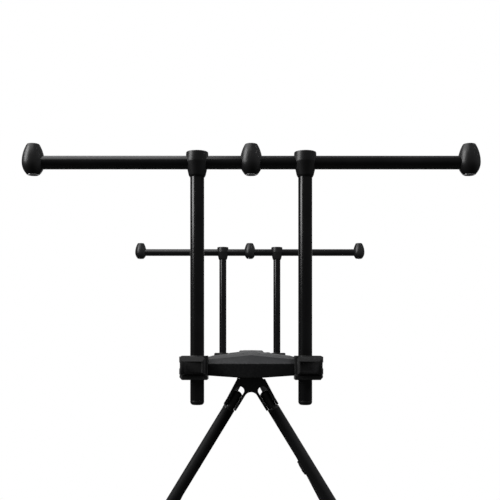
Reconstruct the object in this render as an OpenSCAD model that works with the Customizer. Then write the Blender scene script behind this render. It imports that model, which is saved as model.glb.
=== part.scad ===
// Three-rod fishing pod: two sliding goalposts on lever clamps, a telescoping spine and
// four folding, telescoping legs. X runs across, Y runs from the front bar to the rear bar,
// Z is up, and the ground is z = 0.

/* [Layout] */
// Distance between the front bar and the rear bar
bar_gap = 850; // [780:5:980]
// Distance between the two uprights of a goalpost
upright_gap = 108; // [98:1:130]
// Height of the clamps' middle above the ground
clamp_height = 335; // [318:1:352]
// Height of the front bar above the clamps' middle
front_bar_rise = 205; // [180:1:214]
// Height of the rear bar above the clamps' middle
rear_bar_rise = 212.5; // [180:0.5:214]

/* [Bars and uprights] */
// Outside diameter of the bar tubes
bar_d = 13.5; // [13:0.1:14.5]
// Wall of the bar tubes
bar_wall = 1.2; // [0.8:0.1:1.3]
// Distance from the middle rest housing to an outer one
housing_gap = 218; // [150:1:260]
// How far a bar runs past the middle of its outer housings
bar_overhang = 7.2; // [6.6:0.1:8]
// Outside diameter of the uprights
upright_d = 14; // [13:0.1:15]
// Wall of the uprights
upright_wall = 1.2; // [0.8:0.1:2]
// Length of an upright tube
upright_len = 231; // [226:1:260]
// Height of the rounded plug below an upright
plug_h = 4.5; // [3.5:0.1:8]
// Length of a plug inside its upright
plug_spigot = 12; // [6:1:30]

/* [Tees] */
// Wall around the upright at a tee's top
tee_top_wall = 4; // [3.4:0.1:6]
// Wall around the upright at a tee's widest place
tee_belly_wall = 4.5; // [3.6:0.1:6]
// Wall around the upright at a tee's lower end
tee_foot_wall = 1.5; // [1:0.1:2.4]
// Height of a tee above its bar
tee_roof = 3.65; // [2.5:0.05:6]
// Length of a tee below its bar
tee_socket = 7.85; // [6:0.05:14]

/* [Rest housings] */
// Wall of a rest housing around its bar
housing_wall = 4.45; // [3.6:0.05:6]
// Height of a rest housing above its bar
housing_crown = 11.75; // [10:0.05:13]
// Depth of a rest housing below its bar
housing_base = 5.25; // [4:0.05:5.6]
// Radius of the curve above a housing's middle
housing_upper_curve = 36; // [34:1:60]
// Radius of the curve below a housing's middle
housing_lower_curve = 16.7; // [16:0.1:24]
// Bore of a thread insert, the core of a three-eighths inch thread
thread_bore = 8.3; // [7.8:0.1:8.6]
// Wall of a thread insert
insert_wall = 1.15; // [0.8:0.05:1.25]
// Width of the lip of a thread insert below its housing
insert_lip = 0.5; // [0.3:0.05:0.8]

/* [Clamps and levers] */
// Height of a clamp
clamp_h = 24; // [22:0.5:30]
// Wall of a clamp around its upright
clamp_wall = 3.95; // [3:0.05:5]
// Half width of the flat by which a clamp meets the head
clamp_seat = 9.5; // [8.5:0.1:10.5]
// Length of the spigot that a clamp pushes into the head
clamp_spigot = 8; // [6:0.5:12]
// Thickness of the two ears of a clamp, with their slit
ear_depth = 12.6; // [10:0.1:15]
// Width of the slit in a clamp
slit_w = 2; // [1:0.1:3]
// Thickness of the ledge below a lever
ledge_t = 5; // [3:0.1:6]
// Gap between a lever and the ledge below it
lever_gap = 0.6; // [0.5:0.1:2]
// How far a lever stays below the top of its clamp
lever_drop = 0.8; // [0.3:0.1:2]
// Radius of a lever's round cam end
cam_r = 5.1; // [4.6:0.1:5.4]
// How far a lever's tip reaches past the middle of its upright
lever_tip = 9; // [7:0.1:9.5]
// Radius of a lever's tip
lever_round = 4.2; // [3:0.1:5]
// Bevel along the edges of a lever's face
lever_bevel = 2.4; // [1:0.1:3]
// Height of the slope along the top of a lever's face
lever_brow = 4.8; // [3:0.1:6]
// Depth of the finger scoop in a lever's face
scoop_depth = 1; // [0.5:0.1:1.4]
// Rim between a lever's finger scoop and its edges
scoop_rim = 2; // [1.5:0.1:2.6]
// Diameter of the eye bolts
bolt_d = 4; // [3:0.1:4.4]
// Plastic between an upright's bore and the eye bolt
bolt_web = 2.85; // [2.4:0.05:4]
// How far a lever opens, in degrees
lever_open = 100; // [60:1:105]

/* [Heads] */
// Height of a head's nose line above the clamps' middle
nose_rise = 4.1; // [1:0.1:5]
// Distance of the nose in front of the uprights, at the middle
nose_mid = 13; // [11:0.1:16]
// Distance of the nose in front of the uprights, beside a clamp
nose_end = 8; // [7:0.1:9]
// How far the lower face of a head slopes back
under_depth = 5; // [2:0.1:6]
// Height of the bevel above the nose, at the middle
bevel_mid = 8.35; // [7.5:0.05:10]
// Height of the bevel above the nose, beside a clamp
bevel_end = 4.2; // [3.6:0.1:6]
// Rise of a head's top, in parts of its depth
top_slope = 0.2; // [0.1:0.01:0.3]
// Height of a head's ridge above the clamps' middle
ridge_h = 16.2; // [15:0.1:17]
// Height of a head's ends above the clamps' middle
wing_end_h = 11.7; // [11:0.1:13]
// Depth of a head's middle below the clamps' middle
head_drop = 9.9; // [9.4:0.1:11]
// Depth of a head's ends below the clamps' middle
wing_end_drop = 7.9; // [7:0.1:9.2]
// Distance of a head's back behind the uprights, beside a clamp
wing_back = 9.5; // [8:0.1:12]
// Distance of the end of a head's sleeve behind the uprights
sleeve_end = 58; // [50:1:80]
// Wall at the sides of a head's sleeve
sleeve_wall = 3; // [2.4:0.1:4]
// Floor of a head's sleeve below the spine
sleeve_floor = 2.6; // [2:0.1:4]
// Roof of a head's sleeve above the spine
sleeve_roof = 3.4; // [2.6:0.1:5]

/* [Spine] */
// Width of the outer spine tube
spine_w = 23; // [20:0.1:26]
// Height of the outer spine tube
spine_h = 21.2; // [19:0.1:23]
// Wall of the outer spine tube
spine_wall = 1.8; // [1.2:0.1:2.4]
// Wall of the inner spine tube
inner_wall = 1.5; // [1:0.1:2]
// Chamfer along the corners of the spine tubes
spine_chamfer = 3; // [2.4:0.1:4]
// Gap between the inner and the outer spine tube
spine_fit = 0.3; // [0.2:0.05:0.5]
// Length of the outer spine tube
spine_outer_len = 470; // [440:5:500]
// Overlap of the two spine tubes as they stand
spine_overlap = 105; // [70:5:140]
// Length of the spine's lock collar
spine_collar_len = 40; // [30:1:60]
// Diameter of the lock knob
knob_d = 22; // [16:0.5:26]
// Thickness of the lock knob
knob_t = 11; // [8:0.5:14]
// Diameter of the lock knob's stud
stud_d = 6; // [4:0.5:8]

/* [Leg brackets] */
// Distance of the legs' plane behind the uprights
bracket_back = 25; // [24:0.5:34]
// Thickness of a leg bracket
bracket_t = 14; // [12.5:0.1:16]
// How far a bracket's middle stands proud of its arms
hub_step = 0.6; // [0.3:0.1:1.5]
// Half width of a bracket's neck
neck_half = 11.4; // [10:0.1:12]
// Height of a bracket's neck
neck_h = 2.3; // [1:0.1:5]
// Half width of a bracket's arms
arm_half = 7.3; // [6.8:0.1:8]
// Extra half width of the arms at the shoulders
shoulder_extra = 1.7; // [0:0.1:3]
// Depth of the legs' meeting point below the clamps' middle
apex_drop = 5; // [2:0.1:8]
// Distance of a leg's hinge pin from the legs' meeting point
pin_reach = 35.7; // [34:0.1:40]
// Distance of the slot's round end from the legs' meeting point
slot_reach = 22.5; // [21:0.1:24]
// Width of the slot for a leg's tongue
slot_w = 9.4; // [8.6:0.1:10]
// Diameter of the leg hinge pins
pin_d = 4; // [3:0.1:5]
// Depth of the arch between the arms below a head
arch_drop = 15.6; // [14:0.1:17]

/* [Legs] */
// Lean of a front leg from upright, in degrees
front_splay = 31.4; // [27:0.1:35]
// Lean of a rear leg from upright, in degrees
rear_splay = 27.5; // [26:0.1:33]
// Outside diameter of the upper leg tubes
leg_d = 12.5; // [11.4:0.1:13]
// Wall of the upper leg tubes
leg_wall = 1.25; // [0.9:0.05:1.6]
// Length of the upper leg tubes
upper_len = 185; // [175:1:195]
// Wall of the lower leg tubes
lower_wall = 1.1; // [0.8:0.1:1.5]
// Length of the lower leg tubes
lower_len = 219; // [205:1:225]
// Gap between a leg's tongue and the slot, on each side
tongue_gap = 0.1; // [0.08:0.02:0.8]
// How far a tongue reaches above its pin
tongue_reach = 12.3; // [10:0.1:12.8]
// Radius of the dome on a tongue's nose
nose_r = 6.5; // [5.5:0.1:10]
// Thickness of a hinge plug's shoulder
shoulder_t = 2; // [1:0.1:4]
// Length of a hinge plug inside its leg
hinge_spigot = 16; // [10:1:20]
// Length of a twist-lock collar
collar_len = 30; // [24:1:40]
// Wall of a twist-lock collar around its leg
collar_wall = 2.6; // [2:0.1:4]
// Number of grip flutes round a twist-lock collar
flute_count = 12; // [8:1:16]
// Radius of the ball of a foot
foot_r = 9; // [8:0.1:11]
// Height of the flat under a foot, as cut from its ball
foot_flat = 0.6; // [0.3:0.1:1.5]
// Length of a foot's sleeve on its leg
foot_sleeve = 22; // [16:1:30]
// Wall of a foot's sleeve
foot_wall = 2; // [1.4:0.1:3]

/* [Clearances] */
// Gap round a tube that slides or a pin that turns
slide_gap = 0.05; // [0.03:0.01:0.1]
// Gap round a piece that is glued or pressed in place
fixed_gap = 0.03; // [0.02:0.01:0.08]
// Gap between pieces that swing past each other
swing_gap = 0.5; // [0.4:0.05:0.8]

/* [Hidden] */
$fn = 96;
LEFT = -1;
RIGHT = 1;
plastic = "#1d1e20";
tube = "#131416";
casting = "#2c2e31";
steel = "#8f9398";
alloy = "#c2c5c9";
rubber = "#0e0e0f";
// Reach of a cut that passes right through a piece
far = 100;

// Goalposts
bar_r = bar_d / 2;
upright_r = upright_d / 2;
bar_len = 2 * (housing_gap + bar_overhang);
housing_r = bar_r + housing_wall;
housing_top = bar_r + housing_crown;
housing_bottom = bar_r + housing_base;
insert_r = thread_bore / 2 + insert_wall;
insert_inset = 0.3;
lip_h = 0.4;
rim_chamfer = 0.9;
tee_top = bar_r + tee_roof;
tee_bottom = bar_r + tee_socket;

// Clamps and levers
bore_r = upright_r + slide_gap;
barrel_r = bore_r + clamp_wall;
pivot_u = bore_r + bolt_web + bolt_d / 2;
cam_gap = 0.3;
pivot_v = ear_depth / 2 + cam_gap + cam_r;
ear_end = pivot_u + cam_r;
lever_low = -clamp_h / 2 + ledge_t + lever_gap;
lever_high = clamp_h / 2 - lever_drop;
lever_mid = (lever_low + lever_high) / 2;
lever_back = cam_r - 1.3;
eye_r = cam_r - 1.5;
eye_h = 5;
nut_h = 3.2;
nut_r = 1.01 * bolt_d;
nut_room = 0.2;
nut_half = nut_r * cos(30) + nut_room;
nut_face = ear_depth / 2 - 0.6;

// Heads and spine
wing_half = upright_gap / 2 - barrel_r;
sleeve_half = spine_w / 2 + sleeve_wall;
sleeve_low = -head_drop;
sleeve_high = sleeve_low + sleeve_floor + spine_h + sleeve_roof;
spine_z = sleeve_low + sleeve_floor + spine_h / 2;
inner_w = spine_w - 2 * spine_wall - 2 * spine_fit;
inner_h = spine_h - 2 * spine_wall - 2 * spine_fit;
inner_chamfer = spine_chamfer - 0.586 * (spine_wall + spine_fit);
socket_floor = 6;
crease_mid = bevel_mid - nose_mid;
crease_end = bevel_end - nose_end;
spigot_half_w = 4.5;
spigot_low = -5;
spigot_high = 4.5;
spigot_mid_y = 1.5;
outer_start = -bar_gap / 2 + socket_floor;
outer_end = outer_start + spine_outer_len;
inner_start = outer_end - spine_overlap;
inner_end = bar_gap / 2 - socket_floor;
collar_lip = 5;
collar_start = outer_end + collar_lip - spine_collar_len;
knob_y = collar_start + spine_collar_len / 2;
boss_r = stud_d / 2 + 4;
boss_end = sleeve_half + 6;

// Brackets and legs
neck_low = sleeve_low - neck_h;
arch_z = sleeve_low - arch_drop;
bracket_bolt_d = 6;
bracket_bolt_head_r = 4.8;
bracket_bolt_head_h = 6;
bracket_seat = arch_z + 8;
bracket_nut_h = 5;
screw_d = 4;
screw_head_r = 3.5;
screw_head_h = 1.9;
cheek_r = bracket_t / 2;
plug_top = cheek_r + 2 * tongue_gap;
leg_r = leg_d / 2;
lower_d = leg_d - 2 * leg_wall - 2 * slide_gap;
tongue_r = slot_w / 2 - tongue_gap;
tube_top = plug_top + shoulder_t;
collar_top = tube_top + upper_len - collar_len * 0.4;
collar_r = leg_r + slide_gap + collar_wall;
foot_tip = 5;

function rise(rear) = rear ? rear_bar_rise : front_bar_rise;
function splay(rear) = rear ? rear_splay : front_splay;
function pin_height(rear) = clamp_height - apex_drop - pin_reach * cos(splay(rear));
function leg_reach(rear) = (pin_height(rear) - foot_r + foot_flat) / cos(splay(rear));

// Places

// Puts children at one end: x = 0 lies between the uprights, z = 0 at the clamps' middle,
// and +Y points to the middle of the pod.
module at_end(rear) {
    if (rear)
        mirror([0, 1, 0]) translate([0, -bar_gap / 2, clamp_height]) children();
    else
        translate([0, -bar_gap / 2, clamp_height]) children();
}

// Turns a piece drawn for the right side over to the left one.
module on_side(side) {
    if (side == LEFT)
        mirror([1, 0, 0]) children();
    else
        children();
}

// Puts children on an upright's axis, with +X outwards and -Y away from the pod's middle.
module at_upright(rear, side) {
    at_end(rear) on_side(side) translate([upright_gap / 2, 0, 0]) children();
}

// Puts children on a bar's middle.
module at_bar(rear) {
    at_end(rear) translate([0, 0, rise(rear)]) children();
}

// Puts children on a leg's hinge pin, with -Z down the leg and +X outwards.
module at_leg(rear, side) {
    at_end(rear) on_side(side)
        translate([0, bracket_back, -apex_drop])
            rotate([0, -splay(rear), 0])
                translate([0, 0, -pin_reach]) children();
}

// Shared shapes

// Extrudes a drawing of the XZ plane from y0 to y1.
module along_y(y0, y1) {
    translate([0, y1, 0]) rotate([90, 0, 0]) linear_extrude(y1 - y0) children();
}

// A cylinder along X from x0 to x1.
module rod_x(x0, x1, r) {
    translate([x0, 0, 0]) rotate([0, 90, 0]) cylinder(r = r, h = x1 - x0);
}

// A cylinder along Y from y0 to y1.
module rod_y(y0, y1, r) {
    translate([0, y0, 0]) rotate([-90, 0, 0]) cylinder(r = r, h = y1 - y0);
}

// Everything on the far side of a plane through p that faces n.
module half_space(p, n) {
    size = 400;
    translate(p)
        rotate(a = acos(n.z / norm(n)), v = [-n.y, n.x, 0])
            translate([-size, -size, -2 * size]) cube(2 * size);
}

// A rectangle with its corners cut, centred on the origin.
module cut_rectangle(w, h, c) {
    polygon([
        [-w / 2 + c, -h / 2], [w / 2 - c, -h / 2], [w / 2, -h / 2 + c], [w / 2, h / 2 - c],
        [w / 2 - c, h / 2], [-w / 2 + c, h / 2], [-w / 2, h / 2 - c], [-w / 2, -h / 2 + c]
    ]);
}

// Goalpost pieces

module bar(rear) {
    color(tube) at_bar(rear) difference() {
        rod_x(-bar_len / 2, bar_len / 2, bar_r);
        rod_x(-bar_len, bar_len, bar_r - bar_wall);
        for (x = [-housing_gap, 0, housing_gap])
            translate([x, 0, -bar_d]) cylinder(r = insert_r + fixed_gap, h = 2 * bar_d);
    }
}

module upright(rear, side) {
    color(tube) at_upright(rear, side)
        translate([0, 0, rise(rear) - bar_r - 0.1 - upright_len])
            difference() {
                cylinder(r = upright_r, h = upright_len);
                translate([0, 0, -1]) cylinder(r = upright_r - upright_wall, h = upright_len + 2);
            }
}

// The rounded half outline of a plug, from its tip at z = 0 up to its shoulder.
module plug_outline() {
    corner = min(plug_h - 0.5, upright_r - 2);
    intersection() {
        union() {
            square([upright_r - corner, plug_h]);
            translate([upright_r - corner, corner]) circle(corner);
            translate([0, corner]) square([upright_r, plug_h - corner]);
        }
        square([upright_r, plug_h]);
    }
}

module upright_plugs(rear) {
    color(plastic) for (side = [LEFT, RIGHT]) at_upright(rear, side)
        translate([0, 0, rise(rear) - bar_r - 0.1 - upright_len - plug_h]) {
            rotate_extrude() plug_outline();
            cylinder(r = upright_r - upright_wall - fixed_gap, h = plug_h + plug_spigot);
        }
}

// Half outline of a tee: a barrel over the bar and a cone down the upright.
module tee_outline() {
    top_r = upright_r + tee_top_wall;
    belly_r = upright_r + tee_belly_wall;
    foot_r = upright_r + tee_foot_wall;
    belly_z = 0.5;
    top_edge = 0.8;
    foot_edge = 1.9;
    polygon([
        [0, -tee_bottom], [upright_r + 0.4, -tee_bottom], [foot_r, foot_edge - tee_bottom],
        [belly_r, belly_z], [top_r, tee_top - top_edge], [top_r - top_edge, tee_top], [0, tee_top]
    ]);
}

module tee(rear, side) {
    color(plastic) at_bar(rear) on_side(side) translate([upright_gap / 2, 0, 0]) difference() {
        rotate_extrude() tee_outline();
        rod_x(-2 * upright_d, 2 * upright_d, bar_r + fixed_gap);
        translate([0, 0, -2 * tee_bottom]) cylinder(r = upright_r + fixed_gap, h = 2 * tee_bottom);
    }
}

// Half outline of a rest housing: a long curve above the bar and a short one below it.
module housing_outline() {
    rim = 1 + rim_chamfer;
    upper_rim = housing_r - housing_upper_curve
        + sqrt(pow(housing_upper_curve, 2) - pow(housing_top, 2));
    lower_rim = housing_r - housing_lower_curve
        + sqrt(pow(housing_lower_curve, 2) - pow(housing_bottom, 2));
    intersection() {
        union() {
            intersection() {
                translate([housing_r - housing_upper_curve, 0]) circle(housing_upper_curve);
                square([housing_r + 1, housing_top]);
            }
            intersection() {
                translate([housing_r - housing_lower_curve, 0]) circle(housing_lower_curve);
                translate([0, -housing_bottom]) square([housing_r + 1, housing_bottom]);
            }
        }
        polygon([
            [0, -housing_bottom], [lower_rim - rim_chamfer / 2, -housing_bottom],
            [lower_rim + 2 * rim, rim_chamfer + 1.5 * rim - housing_bottom],
            [housing_r + 1, 0],
            [upper_rim + 2 * rim, housing_top - rim_chamfer - 2 * rim],
            [upper_rim - rim_chamfer / 2, housing_top], [0, housing_top]
        ]);
    }
}

// A rest housing, closed past the bar's end when it is the last one on its side.
module rest_housing(rear, place) {
    bore_out = place == 0 ? 2 * housing_r : bar_overhang + fixed_gap;
    color(plastic) at_bar(rear) on_side(place) translate([abs(place) * housing_gap, 0, 0])
        difference() {
            rotate([0, 0, 180]) rotate_extrude() housing_outline();
            rod_x(-2 * housing_r, bore_out, bar_r + fixed_gap);
            translate([0, 0, -2 * housing_top]) cylinder(r = insert_r + fixed_gap, h = 4 * housing_top);
        }
}

module thread_inserts(rear) {
    height = housing_top + housing_bottom - insert_inset + lip_h;
    color(alloy) at_bar(rear) for (x = [-housing_gap, 0, housing_gap])
        translate([x, 0, -housing_bottom - lip_h]) difference() {
            union() {
                cylinder(r = insert_r, h = height);
                cylinder(r = insert_r + insert_lip, h = lip_h - fixed_gap);
            }
            translate([0, 0, -1]) cylinder(d = thread_bore, h = height + 2);
        }
}

// Clamp pieces, drawn round an upright on the right side of the front end

// Plan of the ledge below a lever, with round outer corners.
module ledge_plan() {
    corner = 4;
    front = pivot_v + 1.5;
    back = clamp_seat;
    translate([-barrel_r, -front]) square([barrel_r + ear_end - corner, front + back]);
    translate([-barrel_r, corner - front]) square([barrel_r + ear_end, front + back - 2 * corner]);
    for (y = [corner - front, back - corner])
        translate([ear_end - corner, y]) circle(corner);
}

// The ears of a clamp seen from the front, with their upper outer corner cut.
module ear_outline() {
    cut = 1.4;
    high = clamp_h / 2;
    polygon([
        [0, -high], [ear_end, -high], [ear_end, high - cut], [ear_end - cut, high], [0, high]
    ]);
}

// The wedge cut off below the outer end of a clamp.
module ledge_corner() {
    cut = 2.6;
    low = -clamp_h / 2;
    along_y(-far, far) polygon([
        [ear_end - cut - 1, low - 1], [ear_end + 1, low - 1], [ear_end + 1, low + cut + 1]
    ]);
}

module clamp(rear, side) {
    color(plastic) at_upright(rear, side) difference() {
        union() {
            translate([0, 0, -clamp_h / 2]) {
                cylinder(r = barrel_r, h = clamp_h);
                translate([-barrel_r, -clamp_seat, 0]) cube([barrel_r, 2 * clamp_seat, clamp_h]);
                linear_extrude(ledge_t) ledge_plan();
            }
            along_y(-ear_depth / 2, ear_depth / 2) ear_outline();
            translate([-barrel_r - clamp_spigot, spigot_mid_y - spigot_half_w, spigot_low])
                cube([clamp_spigot + 2, 2 * spigot_half_w, spigot_high - spigot_low]);
        }
        translate([0, 0, -clamp_h]) cylinder(r = bore_r, h = 2 * clamp_h);
        translate([0, -slit_w / 2, -clamp_h]) cube([2 * pivot_u, slit_w, 2 * clamp_h]);
        translate([pivot_u, 0, lever_mid]) rod_y(-ear_depth, ear_depth, bolt_d / 2 + 0.2);
        translate([pivot_u - nut_r - nut_room, nut_face, lever_mid - nut_half])
            cube([far, far, 2 * nut_half]);
        translate([-barrel_r - clamp_spigot / 2, spigot_mid_y, spigot_low - 1])
            cylinder(d = screw_d, h = 9);
        ledge_corner();
    }
}

// A closed lever seen from above: a round cam end and an arm that hugs the clamp.
module lever_plan() {
    front = -pivot_v - cam_r;
    tip_mid = lever_round - lever_tip;
    height = lever_high - lever_low;
    overlap = 0.03;
    difference() {
        union() {
            translate([pivot_u, -pivot_v, 0]) cylinder(r = cam_r + overlap, h = height);
            translate([tip_mid - overlap, front + lever_round - overlap, 0])
                cylinder(r = lever_round, h = height);
            linear_extrude(height) polygon([
                [pivot_u, front], [tip_mid, front], [-lever_tip, front + lever_round],
                [-lever_tip, lever_back - pivot_v], [pivot_u, lever_back - pivot_v]
            ]);
        }
        translate([0, 0, -1]) {
            cylinder(r = barrel_r + swing_gap, h = height + 2);
            translate([-far, -clamp_seat - swing_gap, 0]) cube([far, far, height + 2]);
        }
    }
}

// Plan of the finger scoop, which deepens from the pivot to the tip.
module scoop_plan() {
    front = -pivot_v - cam_r;
    inner = lever_round - 0.7 * scoop_rim - lever_tip;
    outer = pivot_u - 1;
    polygon([
        [outer, front], [inner + scoop_depth, front + scoop_depth], [inner, front],
        [inner, front - 1], [outer, front - 1]
    ]);
}

// Side view of a lever, with a slope along the top of its face and a bevel along the bottom.
module lever_side() {
    front = -pivot_v - cam_r;
    polygon([
        [front, lever_low + lever_bevel], [front + lever_bevel / 2, lever_low], [0, lever_low],
        [0, lever_high], [front + lever_bevel, lever_high], [front, lever_high - lever_brow]
    ]);
}

// The wedge cut off above a lever's tip.
module tip_corner() {
    cut = 2.6;
    along_y(-far, far) polygon([
        [-lever_tip - 1, lever_high - cut - 1], [-lever_tip - 1, lever_high + 1],
        [cut + 1 - lever_tip, lever_high + 1]
    ]);
}

module lever(rear, side) {
    slot = eye_h + 0.6;
    shank = bolt_d / 2 + 0.4;
    sweep = max(lever_open - 90, 0) + 4;
    color(plastic) at_upright(rear, side) difference() {
        intersection() {
            translate([0, 0, lever_low]) lever_plan();
            translate([-far / 2, 0, 0]) rotate([90, 0, 90]) linear_extrude(far) lever_side();
        }
        translate([0, 0, lever_low + scoop_rim])
            linear_extrude(lever_high - lever_brow - 0.3 - lever_low - scoop_rim) scoop_plan();
        tip_corner();
        translate([pivot_u, -pivot_v, lever_low - 1]) cylinder(r = bolt_d / 2 + slide_gap, h = far);
        translate([pivot_u, -pivot_v, lever_mid - slot / 2]) {
            cylinder(r = eye_r + 0.4, h = slot);
            linear_extrude(slot) polygon([
                [-shank, 0], [-shank, 12], [12, 12], [12, -12 * tan(sweep) - shank],
                [0, -shank]
            ]);
        }
    }
}

// The eye bolts, nuts and lever pins of one end.
module clamp_hardware(rear) {
    color(steel) for (side = [LEFT, RIGHT]) at_upright(rear, side) translate([pivot_u, 0, lever_mid]) {
        difference() {
            union() {
                translate([0, -pivot_v, -eye_h / 2]) cylinder(r = eye_r, h = eye_h);
                rod_y(-pivot_v + bolt_d / 2 + 0.2, nut_face + nut_h + 1.5, bolt_d / 2);
            }
            translate([0, -pivot_v, -eye_h]) cylinder(r = bolt_d / 2 + fixed_gap, h = 2 * eye_h);
        }
        difference() {
            translate([0, nut_face, 0]) rotate([-90, 0, 0]) cylinder(r = nut_r, h = nut_h, $fn = 6);
            rod_y(0, far, bolt_d / 2 + fixed_gap);
        }
        translate([0, -pivot_v, lever_low - lever_mid + 0.4])
            cylinder(r = bolt_d / 2, h = lever_high - lever_low - 0.8);
    }
}

// Head and spine pieces

// The outline of a head's sleeve, and of the collar on the spine.
module sleeve_outline() {
    cut = 3.3;
    low_cut = 2.5;
    polygon([
        [-sleeve_half + low_cut, sleeve_low], [sleeve_half - low_cut, sleeve_low],
        [sleeve_half, sleeve_low + low_cut], [sleeve_half, sleeve_high - cut],
        [sleeve_half - cut, sleeve_high], [cut - sleeve_half, sleeve_high],
        [-sleeve_half, sleeve_high - cut], [-sleeve_half, sleeve_low + low_cut]
    ]);
}

// The two planes of a head's top, which rise towards the middle of the pod.
module below_top() {
    a = [0, crease_mid, nose_rise + bevel_mid];
    b = [wing_half, crease_end, nose_rise + bevel_end];
    c = a + [0, 20, 20 * top_slope];
    n = cross(b - a, c - a);
    behind_prow(a, n);
}

// The wing of a head: a convex prow with a bevel above its nose and a lower face below it.
module wing() {
    nose = [0, -nose_mid, nose_rise];
    nose_side = [wing_half, -nose_end, nose_rise];
    along = nose_side - nose;
    bevel_n = cross(along, [0, 1, 1]);
    under_n = -cross(along, [0, under_depth, sleeve_low - nose_rise]);
    intersection() {
        along_y(-2 * nose_mid, sleeve_end) polygon([
            [-wing_half, -wing_end_drop], [-neck_half - 1, -head_drop], [neck_half + 1, -head_drop],
            [wing_half, -wing_end_drop], [wing_half, wing_end_h], [0, ridge_h],
            [-wing_half, wing_end_h]
        ]);
        translate([0, 0, -far / 2]) linear_extrude(far) polygon([
            [-wing_half, -2 * nose_mid], [wing_half, -2 * nose_mid], [wing_half, wing_back],
            [sleeve_half, sleeve_end - 20], [-sleeve_half, sleeve_end - 20], [-wing_half, wing_back]
        ]);
        below_top();
        behind_prow(nose, bevel_n);
        behind_prow(nose, under_n);
    }
}

// Everything behind a prow whose two faces meet at the middle, at p.
module behind_prow(p, n) {
    intersection() {
        half_space(p, n);
        half_space(p, [-n.x, n.y, n.z]);
    }
}

module head(rear) {
    tube_w = rear ? inner_w : spine_w;
    tube_h = rear ? inner_h : spine_h;
    tube_c = rear ? inner_chamfer : spine_chamfer;
    color(casting) at_end(rear) difference() {
        union() {
            wing();
            intersection() {
                along_y(0, sleeve_end) sleeve_outline();
                below_top();
            }
        }
        along_y(socket_floor, 2 * sleeve_end) translate([0, spine_z])
            cut_rectangle(tube_w + 2 * fixed_gap, tube_h + 2 * fixed_gap, tube_c);
        for (side = [LEFT, RIGHT]) on_side(side) {
            translate([
                wing_half - clamp_spigot - fixed_gap, spigot_mid_y - spigot_half_w - fixed_gap,
                spigot_low - fixed_gap
            ]) cube([20, 2 * spigot_half_w + 2 * fixed_gap, spigot_high - spigot_low + 2 * fixed_gap]);
            translate([wing_half - clamp_spigot / 2, spigot_mid_y, -20]) {
                cylinder(d = screw_d + 0.4, h = 16);
                cylinder(r = screw_head_r + 0.3, h = 20 + spigot_low - 1);
            }
        }
        translate([0, bracket_back, sleeve_low - 1]) cylinder(d = bracket_bolt_d + 0.4, h = 10);
    }
}

module spine_outer_tube() {
    color(tube) translate([0, 0, clamp_height]) difference() {
        along_y(outer_start, outer_end) translate([0, spine_z])
            cut_rectangle(spine_w, spine_h, spine_chamfer);
        along_y(outer_start - 1, outer_end + 1) translate([0, spine_z])
            cut_rectangle(spine_w - 2 * spine_wall, spine_h - 2 * spine_wall,
                spine_chamfer - 0.586 * spine_wall);
        translate([0, bracket_back - bar_gap / 2, sleeve_low]) cylinder(d = bracket_bolt_d + 0.4, h = 10);
        translate([0, knob_y, spine_z]) rod_x(0, spine_w, stud_d / 2 + 0.3);
    }
}

module spine_inner_tube() {
    color(tube) translate([0, 0, clamp_height]) difference() {
        along_y(inner_start, inner_end) translate([0, spine_z])
            cut_rectangle(inner_w, inner_h, inner_chamfer);
        along_y(inner_start - 1, inner_end + 1) translate([0, spine_z])
            cut_rectangle(inner_w - 2 * inner_wall, inner_h - 2 * inner_wall,
                inner_chamfer - 0.586 * inner_wall);
        translate([0, bar_gap / 2 - bracket_back, sleeve_low]) cylinder(d = bracket_bolt_d + 0.4, h = 10);
    }
}

module spine_lock_collar() {
    color(plastic) translate([0, 0, clamp_height]) difference() {
        union() {
            along_y(collar_start, collar_start + spine_collar_len) sleeve_outline();
            translate([0, knob_y, spine_z]) rod_x(0, boss_end, boss_r);
        }
        along_y(collar_start - 1, outer_end) translate([0, spine_z])
            cut_rectangle(spine_w + 2 * fixed_gap, spine_h + 2 * fixed_gap, spine_chamfer);
        along_y(collar_start, outer_end + 20) translate([0, spine_z])
            cut_rectangle(inner_w + 2 * spine_fit, inner_h + 2 * spine_fit, inner_chamfer);
        translate([0, knob_y, spine_z]) rod_x(0, 2 * boss_end, stud_d / 2 + slide_gap);
    }
}

module spine_lock_knob() {
    start = boss_end + swing_gap;
    grips = 8;
    color(plastic) translate([0, knob_y, clamp_height + spine_z]) {
        rod_x(inner_w / 2 + spine_fit, start + 1, stud_d / 2);
        difference() {
            rod_x(start, start + knob_t, knob_d / 2);
            for (i = [0 : grips - 1]) rotate([i * 360 / grips, 0, 0])
                translate([0, knob_d / 2 + 1.4, 0]) rod_x(start - 1, start + knob_t + 1, 3);
        }
    }
}

// Leg brackets

// One arm of a bracket in the plane of its leg: x across the leg, y up the leg from the pin.
module arm_plan() {
    polygon([
        [-arm_half, 0], [arm_half, 0], [arm_half + shoulder_extra, pin_reach - 8],
        [-arm_half, pin_reach - 8]
    ]);
}

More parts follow.
